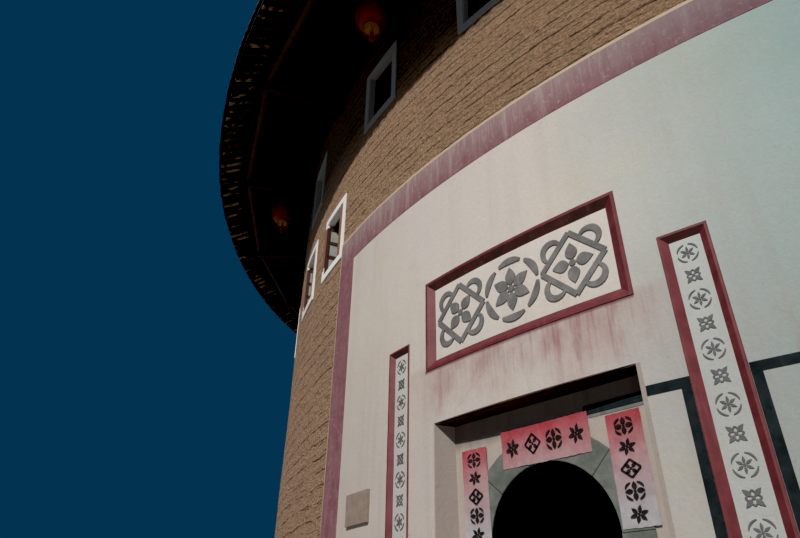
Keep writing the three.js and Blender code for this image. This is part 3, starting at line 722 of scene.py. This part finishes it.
shell("v_gate_plaster", PLASTER, "plaster", (-SKIN_ANGLE, SKIN_RIGHT), (PLINTH_TOP, SKIN_TOP), skin(0.025),
      wall_face, [(*RECESS_A, 0, RECESS_TOP), *POCKETS], FINE, move=recess_side, soft=40,
      stands_for="gate_plaster")
shell("v_gate_border", BORDER, "border_paint", (-BORDER_ANGLE, BORDER_ANGLE), (PLINTH_TOP, BORDER_TOP),
      skin(0.03), wall_face, [(-SKIN_ANGLE - 0.002, SKIN_RIGHT + 0.002, 0, SKIN_TOP + 0.001)], FINE,
      soft=40, stands_for="gate_border")
shell("border_edge", CREAM, "plaster", (-BORDER_ANGLE - 0.12, BORDER_ANGLE + 0.12),
      (PLINTH_TOP, BORDER_TOP + 0.052), skin(0.027, 0.006, 9), wall_face,
      [(-BORDER_ANGLE - 0.002, BORDER_ANGLE + 0.002, 0, BORDER_TOP + 0.001)], (0.2, 0.06))

LINE = 0.014  # thickness of the recess lining
lining = Build()
for side in (-1, 1):
    rings = []
    for z in (RECESS_TOP * k / 12 for k in range(13)):
        half, y = splay_edge(z, 0.024)
        plan = ((half + 0.03, y), (half - LINE, y), (BACK_HALF - LINE, BACK_Y), (BACK_HALF, BACK_Y))
        rings.append([(GATE_X + side * x, py, z) for x, py in plan])
    lining.loft(rings)
half, y = splay_edge(RECESS_TOP, 0.022)
ceiling = ((-half, y), (half, y), (BACK_HALF, BACK_Y), (-BACK_HALF, BACK_Y))
lining.prism([(GATE_X + x, py) for x, py in ceiling], RECESS_TOP - LINE, RECESS_TOP + 0.004, 1)
lining.done("recess_lining", [DIRTY, SOFFIT], "plaster")

bands = Build()
for x0, x1, z0, z1 in ((1.335, 1.709, 3.265, 3.355), (1.628, 1.709, PLINTH_TOP, 3.265),
                       (2.17, 2.252, PLINTH_TOP, 3.27), (2.17, 3.16, 3.27, 3.355),
                       (3.08, 3.16, PLINTH_TOP, 3.27)):
    bands.bent(0, x0, x1, z0, z1, 0.02, 0.03, steps=max(1, int((x1 - x0) / 0.1)))
bands.done("grey_bands", BAND, "border_paint")


# Tablets
def loop(t, by, depth, nx, nz, rough=0):
    """Points round a tablet, drawn in by a margin and standing out by a depth."""
    w = half_angle(t.half - by, WALL_R)
    z0, z1 = t.low + by, t.high - by
    corners = [Vector(v) for v in ((-w, z0), (w, z0), (w, z1), (-w, z1))]
    made = []
    for start, end, n in zip(corners, corners[1:] + corners[:1], (nx, nz, nx, nz)):
        for k in range(n):
            a, z = start.lerp(end, k / n)
            a += t.angle
            d = depth + rough * noise.noise(Vector((*polar(ARC_R, a), z)) * 6)
            made.append((*polar(wall_r(z) + d, a), z))
    return made


def framed(node, t, nx, nz, panel_mat):
    """A moulded frame round a sunk field; the bevel over the field is darkened by rain stains and painted
    shade.
    """
    margin, lip, front, back, worn = t.frame, t.lip, t.front, t.back, 0.003
    steps = ((0, back, 0), (0, front - 0.005, worn), (0.005, front, worn), (lip - 0.004, front, worn),
             (lip, front - 0.003, worn), (margin, t.panel, 0), (margin, back, 0))
    build = Build()
    build.loft([loop(t, by, depth, nx, nz, rough) for by, depth, rough in steps], closed=True)
    around = 2 * (nx + nz)
    bevel_row, top = 4, range(nx + nz, 2 * nx + nz)
    for i in top:
        build.index[bevel_row * around + i] = 1
    build.done("v_" + node, [MAROON, STAINED_SHADED], "maroon_plaster", soft=28, stands_for=node)
    w = half_angle(t.half - margin, WALL_R)
    shell(node + "_field", panel_mat, "plaster", (t.angle - w, t.angle + w),
          (t.low + margin, t.high - margin), skin(t.panel, 0.003, 3),
          lambda a, z: wall_r(z) + back + 0.002, cell=(0.35, 0.1), soft=40,
          stands_for="tablet_panel" if t is TABLET else ())


framed("tablet_frame", TABLET, 24, 10, TABLET_FIELD)
framed("strip_tablet_right", STRIP, 4, 24, STRIP_FIELD)
framed("strip_tablet_left", STRIP_LEFT, 4, 24, STRIP_FIELD)


# Ornaments in place of writing: petals, lozenges and scrolls
def around(r, turn):
    return r * cos(radians(turn)), r * sin(radians(turn))


def leaf(length, width, turn, reach, steps=7):
    """A leaf-shaped outline pointing away from the origin."""
    side = [(reach + length * k / steps, width * sin(pi * (k / steps) ** 0.8)) for k in range(steps + 1)]
    points = side + [(x, -y) for x, y in reversed(side[1:-1])]
    c, s = around(1, turn)
    return [(x * c - y * s, x * s + y * c) for x, y in points]


def stroke(points, widths):
    """A brush-like band along a path."""
    left, right = [], []
    for k, (x, y) in enumerate(points):
        x0, y0 = points[max(0, k - 1)]
        x1, y1 = points[min(len(points) - 1, k + 1)]
        d = hypot(x1 - x0, y1 - y0) or 1
        nx, ny = -(y1 - y0) / d * widths[k] / 2, (x1 - x0) / d * widths[k] / 2
        left.append((x + nx, y + ny))
        right.append((x - nx, y - ny))
    return left + right[::-1]


def arc(cx, cy, r, a0, a1, width, steps=12):
    """A curl that tapers towards both ends."""
    path = [around(r, a0 + (a1 - a0) * k / steps) for k in range(steps + 1)]
    widths = [width * sin(pi * (0.12 + 0.76 * k / steps)) for k in range(steps + 1)]
    return stroke([(cx + x, cy + y) for x, y in path], widths)


def arcs(r, count, margin, width):
    """A broken ring."""
    turn = 360 / count
    return [arc(0, 0, r, turn * k + margin[0], turn * (k + 1) - margin[1], width) for k in range(count)]


def lozenge(w, band):
    pts = [(w, 0), (0, w), (-w, 0), (0, -w)]
    return [stroke([pts[k], pts[(k + 1) % 4]], [band, band]) for k in range(4)]


def flower(r, petals, width, turn=0, core=0.16):
    shapes = [leaf(r * (1 - core), r * width, turn + 360 * k / petals, r * core * 1.1) for k in range(petals)]
    return shapes + [[around(r * core, 36 * k) for k in range(10)]]


def scrolls(r, width):
    """Four tapering curls around a centre."""
    return [arc(*around(r * 0.8, 45 + 90 * k), r * 0.3, 90 * k - 70, 90 * k + 150, width) for k in range(4)]


def raise_on_wall(build, shapes, angle, x, z, size, d0, d1):
    for shape in shapes:
        points = [(angle + degrees((x + px * size) / ARC_R), z + pz * size) for px, pz in shape]
        build.loft([[(*polar(wall_r(zz) + d, a), zz) for a, zz in points] for d in (d0, d1)])


big = [flower(0.62, 4, 0.3, 45) + lozenge(1, 0.16) + scrolls(1.02, 0.19),
       flower(0.7, 6, 0.26, 90) + arcs(0.94, 6, (5, 5), 0.22),
       flower(0.62, 4, 0.3) + lozenge(0.98, 0.16) + scrolls(1.02, 0.19)]
relief = Build()
for shapes, x in zip(big, (-0.8, 0, 0.8)):
    raise_on_wall(relief, shapes, TABLET.angle, x, (TABLET.low + TABLET.high) / 2, 0.385,
                  TABLET.panel - 0.004, TABLET.panel + 0.014)
relief.done("tablet_relief", RELIEF, "grey_stone", soft=30)
small = Build()
for t in (STRIP, STRIP_LEFT):
    for k in range(11):
        if k % 2:
            shapes = flower(1, 4, 0.2, 45) + lozenge(0.62, 0.13)
        else:
            shapes = flower(0.72, 6, 0.17, 30) + arcs(1, 4, (12, 12), 0.17)
        z = t.high - t.frame - 0.155 - 0.238 * k
        raise_on_wall(small, shapes, t.angle, 0, z, 0.092, t.panel - 0.004, t.panel + 0.006)
small.done("strip_relief", RELIEF_DARK, "grey_stone", soft=30)


# Papers pasted round the doorway
STONE_Y = BACK_Y - 0.015
SHEET = 0.0012


def paper(name, x0, x1, z0, z1, mat, seed, curl=0.006):
    """A sheet with uneven edges that stands off the stones in places."""
    nx, nz = round((x1 - x0) / 0.03), round((z1 - z0) / 0.03)
    rng = random.Random(seed)
    torn = [rng.uniform(-0.005, 0.002) for _ in range(2 * (nx + nz) + 4)]
    rings = []
    for i in range(nz + 1):
        row = []
        for j in range(nx + 1):
            x, z = x0 + (x1 - x0) * j / nx, z0 + (z1 - z0) * i / nz
            if i in (0, nz):
                z += -torn[j + nx] if i else torn[j]
            if j in (0, nx):
                x += torn[i + 2 * nx] * (-0.5 if j else 0.5)
            p = Vector((x * 4, seed, z * 3))
            d = curl * (0.6 + noise.noise(p)) + 0.003 * abs(noise.noise(p * 4.5))
            row.append((x, STONE_Y - 0.001 - max(0.001, d), z))
        rings.append(row + [(x, y + SHEET, z) for x, y, z in reversed(row)])
    sheet = Build()
    sheet.loft(rings, caps=(False, False))
    count = len(rings[0])
    for start in (0, nz * count):  # the lower and the upper rim
        sheet.faces += [[start + v for v in (j, j + 1, count - 2 - j, count - 1 - j)] for j in range(nx)]
        sheet.index += [0] * nx
    sheet.done(name, mat, "red_paper", soft=50)


paper("paper_right", 0.78, 1.13, 2.27, 3.262, PAPER_SIDE, 3)
paper("paper_left", -1.03, -0.68, 2.262, 3.252, PAPER_SIDE, 8)
paper("paper_over", -0.46, 0.6, 2.968, 3.352, PAPER_OVER, 5, 0.01)


def ink(build, shapes, x, z, sx, sz, y):
    for shape in shapes:
        build.loft([[(x + px * sx, yy, z + pz * sz) for px, pz in shape] for yy in (y, y + 0.0015)])


marks = Build()
INK_Y = STONE_Y - 0.0155
brush = [flower(1, 4, 0.26) + arcs(0.98, 4, (20, 18), 0.22), flower(0.95, 6, 0.2, 15),
         flower(0.8, 4, 0.24, 45) + lozenge(1, 0.2)]
for x in (0.955, -0.855):
    for k in range(5):
        ink(marks, brush[k % 3], x, 3.135 - 0.19 * k, 0.095, 0.078, INK_Y)
for k in range(4):
    ink(marks, brush[(k + 1) % 3], -0.315 + 0.258 * k, 3.165, 0.095, 0.1, INK_Y - 0.004)
marks.done("ink_marks", INK, "red_paper")

# grey painted line on the back wall, with its dark upper edge
line = Build()
for mat, (left, proud, z0, z1) in enumerate(((0.6, 0.004, 3.284, 3.318), (0.56, 0.01, 3.318, 3.405))):
    y0, y1 = BACK_Y - proud, BACK_Y + 0.002
    line.prism([(left, y0), (1.195, y0), (1.195, y1), (left, y1)], z0, z1, mat)
line.done("back_wall_line", [RELIEF, BAND], "border_paint")

# Surround stones of the arch, jointed
ARCH_BACK = BACK_Y + BACK_THICK - 0.0005


def voussoir(build, a0, a1, y0, y1, r0, r1, steps):
    rings = []
    for k in range(steps + 1):
        c, s = around(1, a0 + (a1 - a0) * k / steps)
        section = ((r0, y0), (r1, y0), (r1, y1), (r0, y1))
        rings.append([(GATE_X + r * c, y, ARCH_SPRING + r * s) for r, y in section])
    build.loft(rings)


stones, bed = Build(), Build()
cuts = (0, 44, 92, 138, 180)
for a0, a1 in zip(cuts, cuts[1:]):
    voussoir(stones, a0 + 0.18, a1 - 0.18, STONE_Y, ARCH_BACK, ARCH_R, STONE_R, 6)
bevel(stones.done("v_arch_stones", ARCH_STONE, "grey_stone", soft=40, stands_for="arch_stones"), 0.008)
voussoir(bed, 0, 180, STONE_Y + 0.006, ARCH_BACK - 0.002, ARCH_R + 0.006, STONE_R - 0.002, 24)
bed.done("arch_mortar", SOFFIT, "grey_stone")

# Windows
surround, joinery = Build(), Build()
SURROUND_MATS, JOINERY_MATS = [WHITE, CASEMENT, LIT_REVEAL_WHITE, SHADED_DUSTY_WHITE], [CASEMENT, PANE, TIMBER, SASH]
WHITEWASH, LINING, SOFFIT_LIT, SHADED_DUSTY = range(4)
RED_WOOD, GLASS, OLD_WOOD, DARK_WOOD = range(4)
REVEAL = 0.013
W, BAND_W = WINDOW_HALF, 0.13


def surround_bands(angle, z0, z1, left_parts, mat):
    """White bands all round; the left one may be given in parts."""
    side = W + BAND_W
    for x0, x1, za, zb, steps in ((-side, side, z1, z1 + BAND_W, 4), (-side, side, z0 - BAND_W, z0, 4),
                                  (W, side, z0, z1, 1), *((-side, -W, *part, 1) for part in left_parts)):
        surround.bent(angle, x0, x1, za, zb, -0.03, 0.016, mat, steps)


def low_window(angle, z0, z1):
    """Two glazed leaves folded inwards, a post at the right and a folded shutter board at the left."""
    soffit, deep = 0.11, -0.45
    surround_bands(angle, z0, z1, ((z0, z0 + 0.16), (z1 - 0.085, z1)), WHITEWASH)
    # painted light: the front of the soffit in the brighter white
    surround.bent(angle, -W, W, z1 - REVEAL, z1, -soffit, -0.001, SOFFIT_LIT, 3)
    surround.bent(angle, -W, W, z1 - REVEAL, z1, deep, -soffit, LINING, 3)
    surround.bent(angle, -W, W, z0, z0 + REVEAL, deep, -0.001, WHITEWASH, 3)
    joinery.bent(angle, -W - 0.127, -W - 0.036, z0 + 0.125, z1 - 0.08, -0.004, 0.021, RED_WOOD)
    joinery.bent(angle, -W - 0.035, -W + 0.014, z0 + 0.02, z1 - 0.085, -0.01, 0.01, DARK_WOOD)
    joinery.bent(angle, W - 0.15, W - 0.002, z0 + REVEAL, z1 - 0.055, -0.045, 0.006, RED_WOOD)
    joinery.bent(angle, -W + 0.02, W - 0.02, z1 - 0.085, z1 - REVEAL, -soffit - 0.04, -soffit, DARK_WOOD, 3)
    za, zb, far = z0 + 0.04, z1 - 0.09, -0.435
    for side, near in ((-1, -0.008), (1, -0.046)):
        x0, x1 = sorted((side * (W - 0.001), side * (W - 0.052)))
        for d0, d1 in ((near - 0.034, near), (-0.262, -0.222), (far, far + 0.042)):
            joinery.bent(angle, x0, x1, za, zb, d0, d1, DARK_WOOD)
        for k in range(4):
            z = za + 0.036 + (zb - za - 0.072) * k / 3
            joinery.bent(angle, x0, x1, z - 0.036, z + 0.036, far + 0.001, near - 0.002, DARK_WOOD)
        x0, x1 = sorted((side * (W - 0.012), side * (W - 0.04)))
        joinery.bent(angle, x0, x1, za + 0.01, zb - 0.01, far + 0.01, near - 0.004, GLASS)


def high_window(angle, z0, z1):
    """A fixed frame of upright bars set back in a plastered opening."""
    # painted shade: the high windows take the darker copy of the white
    surround_bands(angle, z0, z1, ((z0, z1),), SHADED_DUSTY)
    front, back, wide = -0.11, -0.17, 0.055
    for x0, x1, za, zb, steps in ((-W, W, z1 - REVEAL, z1, 3), (-W, W, z0, z0 + REVEAL, 3),
                                  (W - REVEAL, W, z0, z1, 1), (-W, -W + REVEAL, z0, z1, 1)):
        surround.bent(angle, x0, x1, za, zb, back, -0.001, SHADED_DUSTY, steps)
    x0, x1, za, zb = -W + REVEAL, W - REVEAL, z0 + REVEAL, z1 - REVEAL
    for xa, xb, zc, zd in ((x0, x0 + wide, za, zb), (x1 - wide, x1, za, zb),
                           (x0, x1, za, za + wide), (x0, x1, zb - wide, zb)):
        joinery.bent(angle, xa, xb, zc, zd, back, front, OLD_WOOD)
    for k in range(1, 7):
        x = x0 + (x1 - x0) * k / 7
        joinery.bent(angle, x - 0.014, x + 0.014, za + wide, zb - wide, back + 0.015, front - 0.012, OLD_WOOD)
    z = (za + zb) / 2
    joinery.bent(angle, x0 + wide, x1 - wide, z - 0.02, z + 0.02, back + 0.02, front - 0.018, OLD_WOOD)


for a in LOW_AT:
    low_window(a, *LOW)
for a in HIGH_AT:
    high_window(a, *HIGH)
surround.done("window_surrounds", SURROUND_MATS, "plaster")
joinery.done("window_joinery", JOINERY_MATS, "red_timber")


# Roof: flutes under the tiles, tiles in courses, rafters
BED, UNDERSIDE, FLUTE = 0.185, 0.045, 0.028  # heights over the roof's own underside
COVER_PROFILE = ((-1, 0.04), (-0.62, 0.088), (0.62, 0.088), (1, 0.04))
PAN_PROFILE = ((-1, 0.052), (0, 0.008), (1, 0.052))


def cone(node, a0, a1, r0, r1, under, step):
    """A closed conical slab between two radii, its underside fluted."""
    n = max(2, round((a1 - a0) / step))
    whole = a1 - a0 >= 359.9
    rings = []
    for k in range(n if whole else n + 1):
        low = UNDERSIDE + FLUTE * (k % 2)
        corners = ((r0, low), (r1, low), (r1, BED), (r0, BED))
        rings.append([(*polar(r, a0 + (a1 - a0) * k / n), under(r) + h) for r, h in corners])
    slab = Build()
    slab.loft(rings, closed=whole)
    slab.done("v_" + node, SHADED_TILE_BACKS, "tile", stands_for=node)


def tiles(name, rng, a0, a1, rows, r_low, r_high, under):
    """Courses of cover and pan tiles from the low edge up."""
    build = Build()
    pitch = (a1 - a0) / rows
    count = max(1, round(abs(r_high - r_low) / 0.2))
    dr = (r_high - r_low) / count
    for k in range(rows):
        mid = a0 + pitch * (k + 0.5)
        slip = rng.uniform(-0.018, 0.004)
        for pan, profile, share in ((0, COVER_PROFILE, 0.33), (1, PAN_PROFILE, 0.36)):
            sway = rng.uniform(-0.03, 0.03) * pitch
            for i in range(count):
                lo = r_low + dr * i + (copysign(slip, r_low - r_high) if i == 0 else 0)
                hi = r_low + dr * (i + 1) + (dr * 0.1 if i < count - 1 else 0)
                middle = mid + pan * pitch / 2 + sway + rng.uniform(-0.025, 0.025) * pitch
                up = 0.016 + rng.uniform(0, 0.006)
                edges = [(lo, up), (hi, 0)]
                if pan:
                    edges.insert(0, (lo, up - 0.018))
                rings = [[(*polar(r, middle + pitch * share * x), under(r) + BED + h + more)
                          for x, h in profile] for r, more in edges]
                build.loft(rings, wrap=False, caps=(not pan, False))
    build.done(name, TILE, "tile", fix=False)


def rafters(name, count, r_low, r_high, under):
    build = Build()
    for k in range(count):
        a = 360 * (k + 0.5) / count
        rings = []
        for r in (r_low, r_high):
            w = degrees(0.045 / r)
            rings.append([(*polar(r, a + d), under(r) + h)
                          for d, h in ((-w, 0.004), (w, 0.004), (w, 0.044), (-w, 0.044))])
        build.loft(rings)
    build.done(name, RAFTER, "timber")


for i, side in enumerate(("front", "right", "back", "left")):
    a0 = -42 + 90 * i
    cone("roof_" + side, a0, a0 + 90 - 0.001, EAVE_R - 0.055, RIDGE_R + 0.001, under_roof, 0.375)
    tiles(f"roof_{side}_tiles", random.Random(20 + i), a0, a0 + 90, 120, EAVE_R - 0.004, RIDGE_R + 0.06,
          under_roof)
rafters("rafters", 440, EAVE_R - 0.075, RIDGE_R + 0.02, under_roof)
cone("roof_court", 0, 360, COURT_EAVE_R + 0.055, RIDGE_R - 0.001, under_court, 0.6)
tiles("roof_court_tiles", random.Random(31), 0, 360, 300, COURT_EAVE_R + 0.004, RIDGE_R - 0.06, under_court)
rafters("court_rafters", 240, COURT_EAVE_R + 0.075, RIDGE_R - 0.02, under_court)

RIDGE_TOP = under_roof(RIDGE_R) + ROOF_THICK
RIDGE_BED = ((-0.168, -0.075), (0.168, -0.075), (0.15, 0.075), (-0.15, 0.075))
RIDGE_CAP = ((-0.135, 0.072), (-0.105, 0.135), (0, 0.172), (0.105, 0.135), (0.135, 0.072))
RIDGE_SIDE = ((0.14, 0), (0.176, 0), (0.176, 0.045), (0.14, 0.045))
ridge = Build()
PARTS = 240


def on_ridge(profile, k, up=0, side=1):
    return [(*polar(RIDGE_R + side * r, 360 * k / PARTS), RIDGE_TOP + z + up) for r, z in profile]


for k in range(PARTS):
    ridge.loft([on_ridge(RIDGE_BED, k), on_ridge(RIDGE_BED, k + 1)], 1, caps=(False, False))
    ridge.loft([on_ridge(RIDGE_CAP, k - 0.08, 0.01), on_ridge(RIDGE_CAP, k + 1 + 1 / 15)], wrap=False)
    for side in (-0.96, 0.96):
        ridge.loft([on_ridge(RIDGE_SIDE, k + end, side=side) for end in (0.06, 0.94)])
ridge.done("v_roof_ridge", [TILE, MORTAR], "tile", stands_for="roof_ridge", fix=False)


# Timber floors: boards on joists
def deck(node, top, r_out):
    build = Build()
    rows, inner, facets = 21, GALLERY_R + 0.01, 90
    pitch = (r_out - 0.004 - inner) / rows
    for k in range(rows):
        r0, r1 = inner + pitch * k + 0.002, inner + pitch * (k + 1) - 0.002
        section = ((r0, top - 0.04), (r1, top - 0.04), (r1, top), (r0, top))
        build.loft([[(*polar(r, 360 * (j + 0.5) / facets), z) for r, z in section] for j in range(facets)],
                   closed=True)
    for j in range(120):
        build.block(3 * j, inner + 0.02, r_out - 0.01, 0.05, top - FLOOR_THICK + 0.002, top - 0.041, 1)
    build.done("v_" + node, [BOARDS, TIMBER], "timber", stands_for=node)


def chord(r, a):
    """Radius of the straight bay at an angle, its ends at r."""
    return r * cos(radians(BAY / 2)) / cos(radians((a - 6) % BAY - 6))


bars = Build()
for k in (1, 2, 3):
    deck(f"floor_{k + 1}", FLOOR_TOP[k], INNER_R[k])
    for j in range(360):
        r = chord(POST_R, j)
        if (j - 6) % BAY:
            bars.block(j, r - 0.018, r + 0.018, 0.018, FLOOR_TOP[k] + 0.001, FLOOR_TOP[k] + 0.905)
bars.done("balusters", TIMBER, "timber")

# Lanterns
LANTERN_R, LANTERN_Z, LANTERN_HALF, LANTERN_TALL = 15.88, 11.08, 0.318, 0.52
LANTERN_MATS, CAPS, CORD, THREAD = [SILK, GILT, TIMBER, FRINGE], 1, 2, 3


def lantern(node, angle):
    """A ribbed silk body between gilt caps, on a cord, with a tassel and a short fringe."""
    build = Build()
    cx, cy = polar(LANTERN_R, angle)
    zc, end = LANTERN_Z, LANTERN_TALL / 2

    def lathe(profile, steps, mat, rib=0):
        build.loft([[(cx + x, cy + y, z) for x, y in (around(r * (1 - rib * (k % 2)), 360 * k / steps)
                                                      for k in range(steps))] for r, z in profile], mat)

    def threads(count, r, turn, w, top, bottom, flare=1):
        """A ring of hanging square threads; bottom gives the height of each lower end."""
        for k in range(count):
            x, y = around(r, 360 * k / count + turn)
            square = [(x, y, dx, dy) for dx, dy in ((-w, -w), (w, -w), (w, w), (-w, w))]
            build.loft([[(cx + px * m + dx, cy + py * m + dy, z) for px, py, dx, dy in square]
                        for m, z in ((flare, bottom(k)), (1, top))], THREAD)

    body = [(0.13 + (LANTERN_HALF - 0.13) * sqrt(1 - t * t), zc + t * end)
            for t in (i / 7 - 1 for i in range(15))]
    lathe(body, 48, 0, 0.055)
    for s in (-1, 1):
        lo, hi = sorted((zc + s * end, zc + s * (end + 0.055)))
        lathe([(0.135, lo), (0.142, lo + 0.01), (0.142, hi - 0.01), (0.135, hi)], 24, CAPS)
    lathe([(0.01, zc + 0.3), (0.01, under_roof(LANTERN_R) + 0.002)], 8, CORD)
    lathe([(0.03, zc - 0.4), (0.04, zc - 0.375), (0.022, zc - 0.345), (0.022, zc - 0.315)], 12, CAPS)
    for r in (0.016, 0.034):
        threads(22, r, degrees(r * 40), 0.0035, zc - 0.385, lambda k: zc - 0.615 + 0.012 * (k % 3), 1.22)
    threads(16, 0.141, 0, 0.006, zc - end - 0.05, lambda k: zc - end - 0.16)
    build.done("v_" + node, LANTERN_MATS, "lantern_silk", soft=50, stands_for=node)


lantern("lantern_1", -7.5)
lantern("lantern_2", -31.5)

# Eave purlin: a round pole on squared brackets
PURLIN_R, PURLIN_Z, POLE_R, POLE_SIDES = 16.85, 11.74, 0.088, 12
pole = Build()
rings = []
for a in (1.5 * k for k in range(240)):
    thick = POLE_R + 0.006 * noise.noise(Vector((a * 0.7, 3, 1)))
    section = [around(thick, 360 * (j + 0.5) / POLE_SIDES) for j in range(POLE_SIDES)]
    rings.append([(*polar(chord(PURLIN_R, a) + out, a), PURLIN_Z + up) for out, up in section])
pole.loft(rings, closed=True)
for k in range(30):
    pole.block(6 + BAY * k, wall_r(11.6) - 0.05, 16.9, 0.058, 11.508, 11.672, 1)
pole.done("v_eave_purlin", [POLE, BRACKET], "red_timber", soft=40, stands_for="eave_purlin")


# Nodes whose own shape is right: they get their material and softened edges
for name, mat, width in (("gate_back_wall", STAINED_SHADED_WALL, 0), ("jamb_left", ARCH_STONE, 0.006),
                         ("jamb_right", ARCH_STONE, 0.006), ("threshold", GREY_STONE, 0.015),
                         ("gate_lintel", TIMBER, 0.01), ("notice_stone", PALE_STONE, 0.006),
                         ("ground_floor", MORTAR, 0), ("ridge_frame", TIMBER, 0.008),
                         *((f"gallery_{k}", TIMBER, 0.008) for k in (1, 2, 3, 4))):
    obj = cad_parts[name]
    obj.data.materials.clear()
    obj.data.materials.append(mat)
    if width:
        bevel(obj, width)

# Studio
FAR, FLOOR_Z = 300, -0.002
mesh = bpy.data.meshes.new("studio_floor")
mesh.from_pydata([(x, y, FLOOR_Z) for x, y in ((-FAR, -FAR), (FAR, -FAR), (FAR, FAR), (-FAR, FAR))], [],
                 [(0, 1, 2, 3)])
pale = Shade("studio_floor", 0.9)
pale.put(pale.bsdf.inputs["Base Color"], (0.3, 0.29, 0.275))
mesh.materials.append(pale.mat)
floor = add_object("studio_floor", mesh)


def lamp(name, energy, spread_angle, colour, azimuth, height):
    """A sun lamp standing at an angle from the gate axis and a height, in degrees."""
    data = bpy.data.lights.new(name, "SUN")
    data.energy, data.angle, data.color = energy, radians(spread_angle), colour
    towards = Vector((*polar(cos(radians(height)), azimuth), sin(radians(height))))
    add_object(name, data).rotation_euler = towards.to_track_quat("Z", "Y").to_euler()


lamp("sun", 3.45, 1.2, (1, 0.955, 0.89), 25, 37.5)
lamp("back_fill", 1.1, 35, (0.88, 0.94, 1), 200, 42)
world = bpy.data.worlds.new("studio")
world.use_nodes = True
sky = world.node_tree.nodes["Background"].inputs
sky[0].default_value = (0.093, 0.35, 0.74, 1)
sky[1].default_value = 0.125
bpy.context.scene.world = world
view = bpy.context.scene.view_settings
view.view_transform = "Standard"
view.use_curve_mapping = True
view.curve_mapping.black_level = (0.011, 0.011, 0.011)
view.curve_mapping.update()
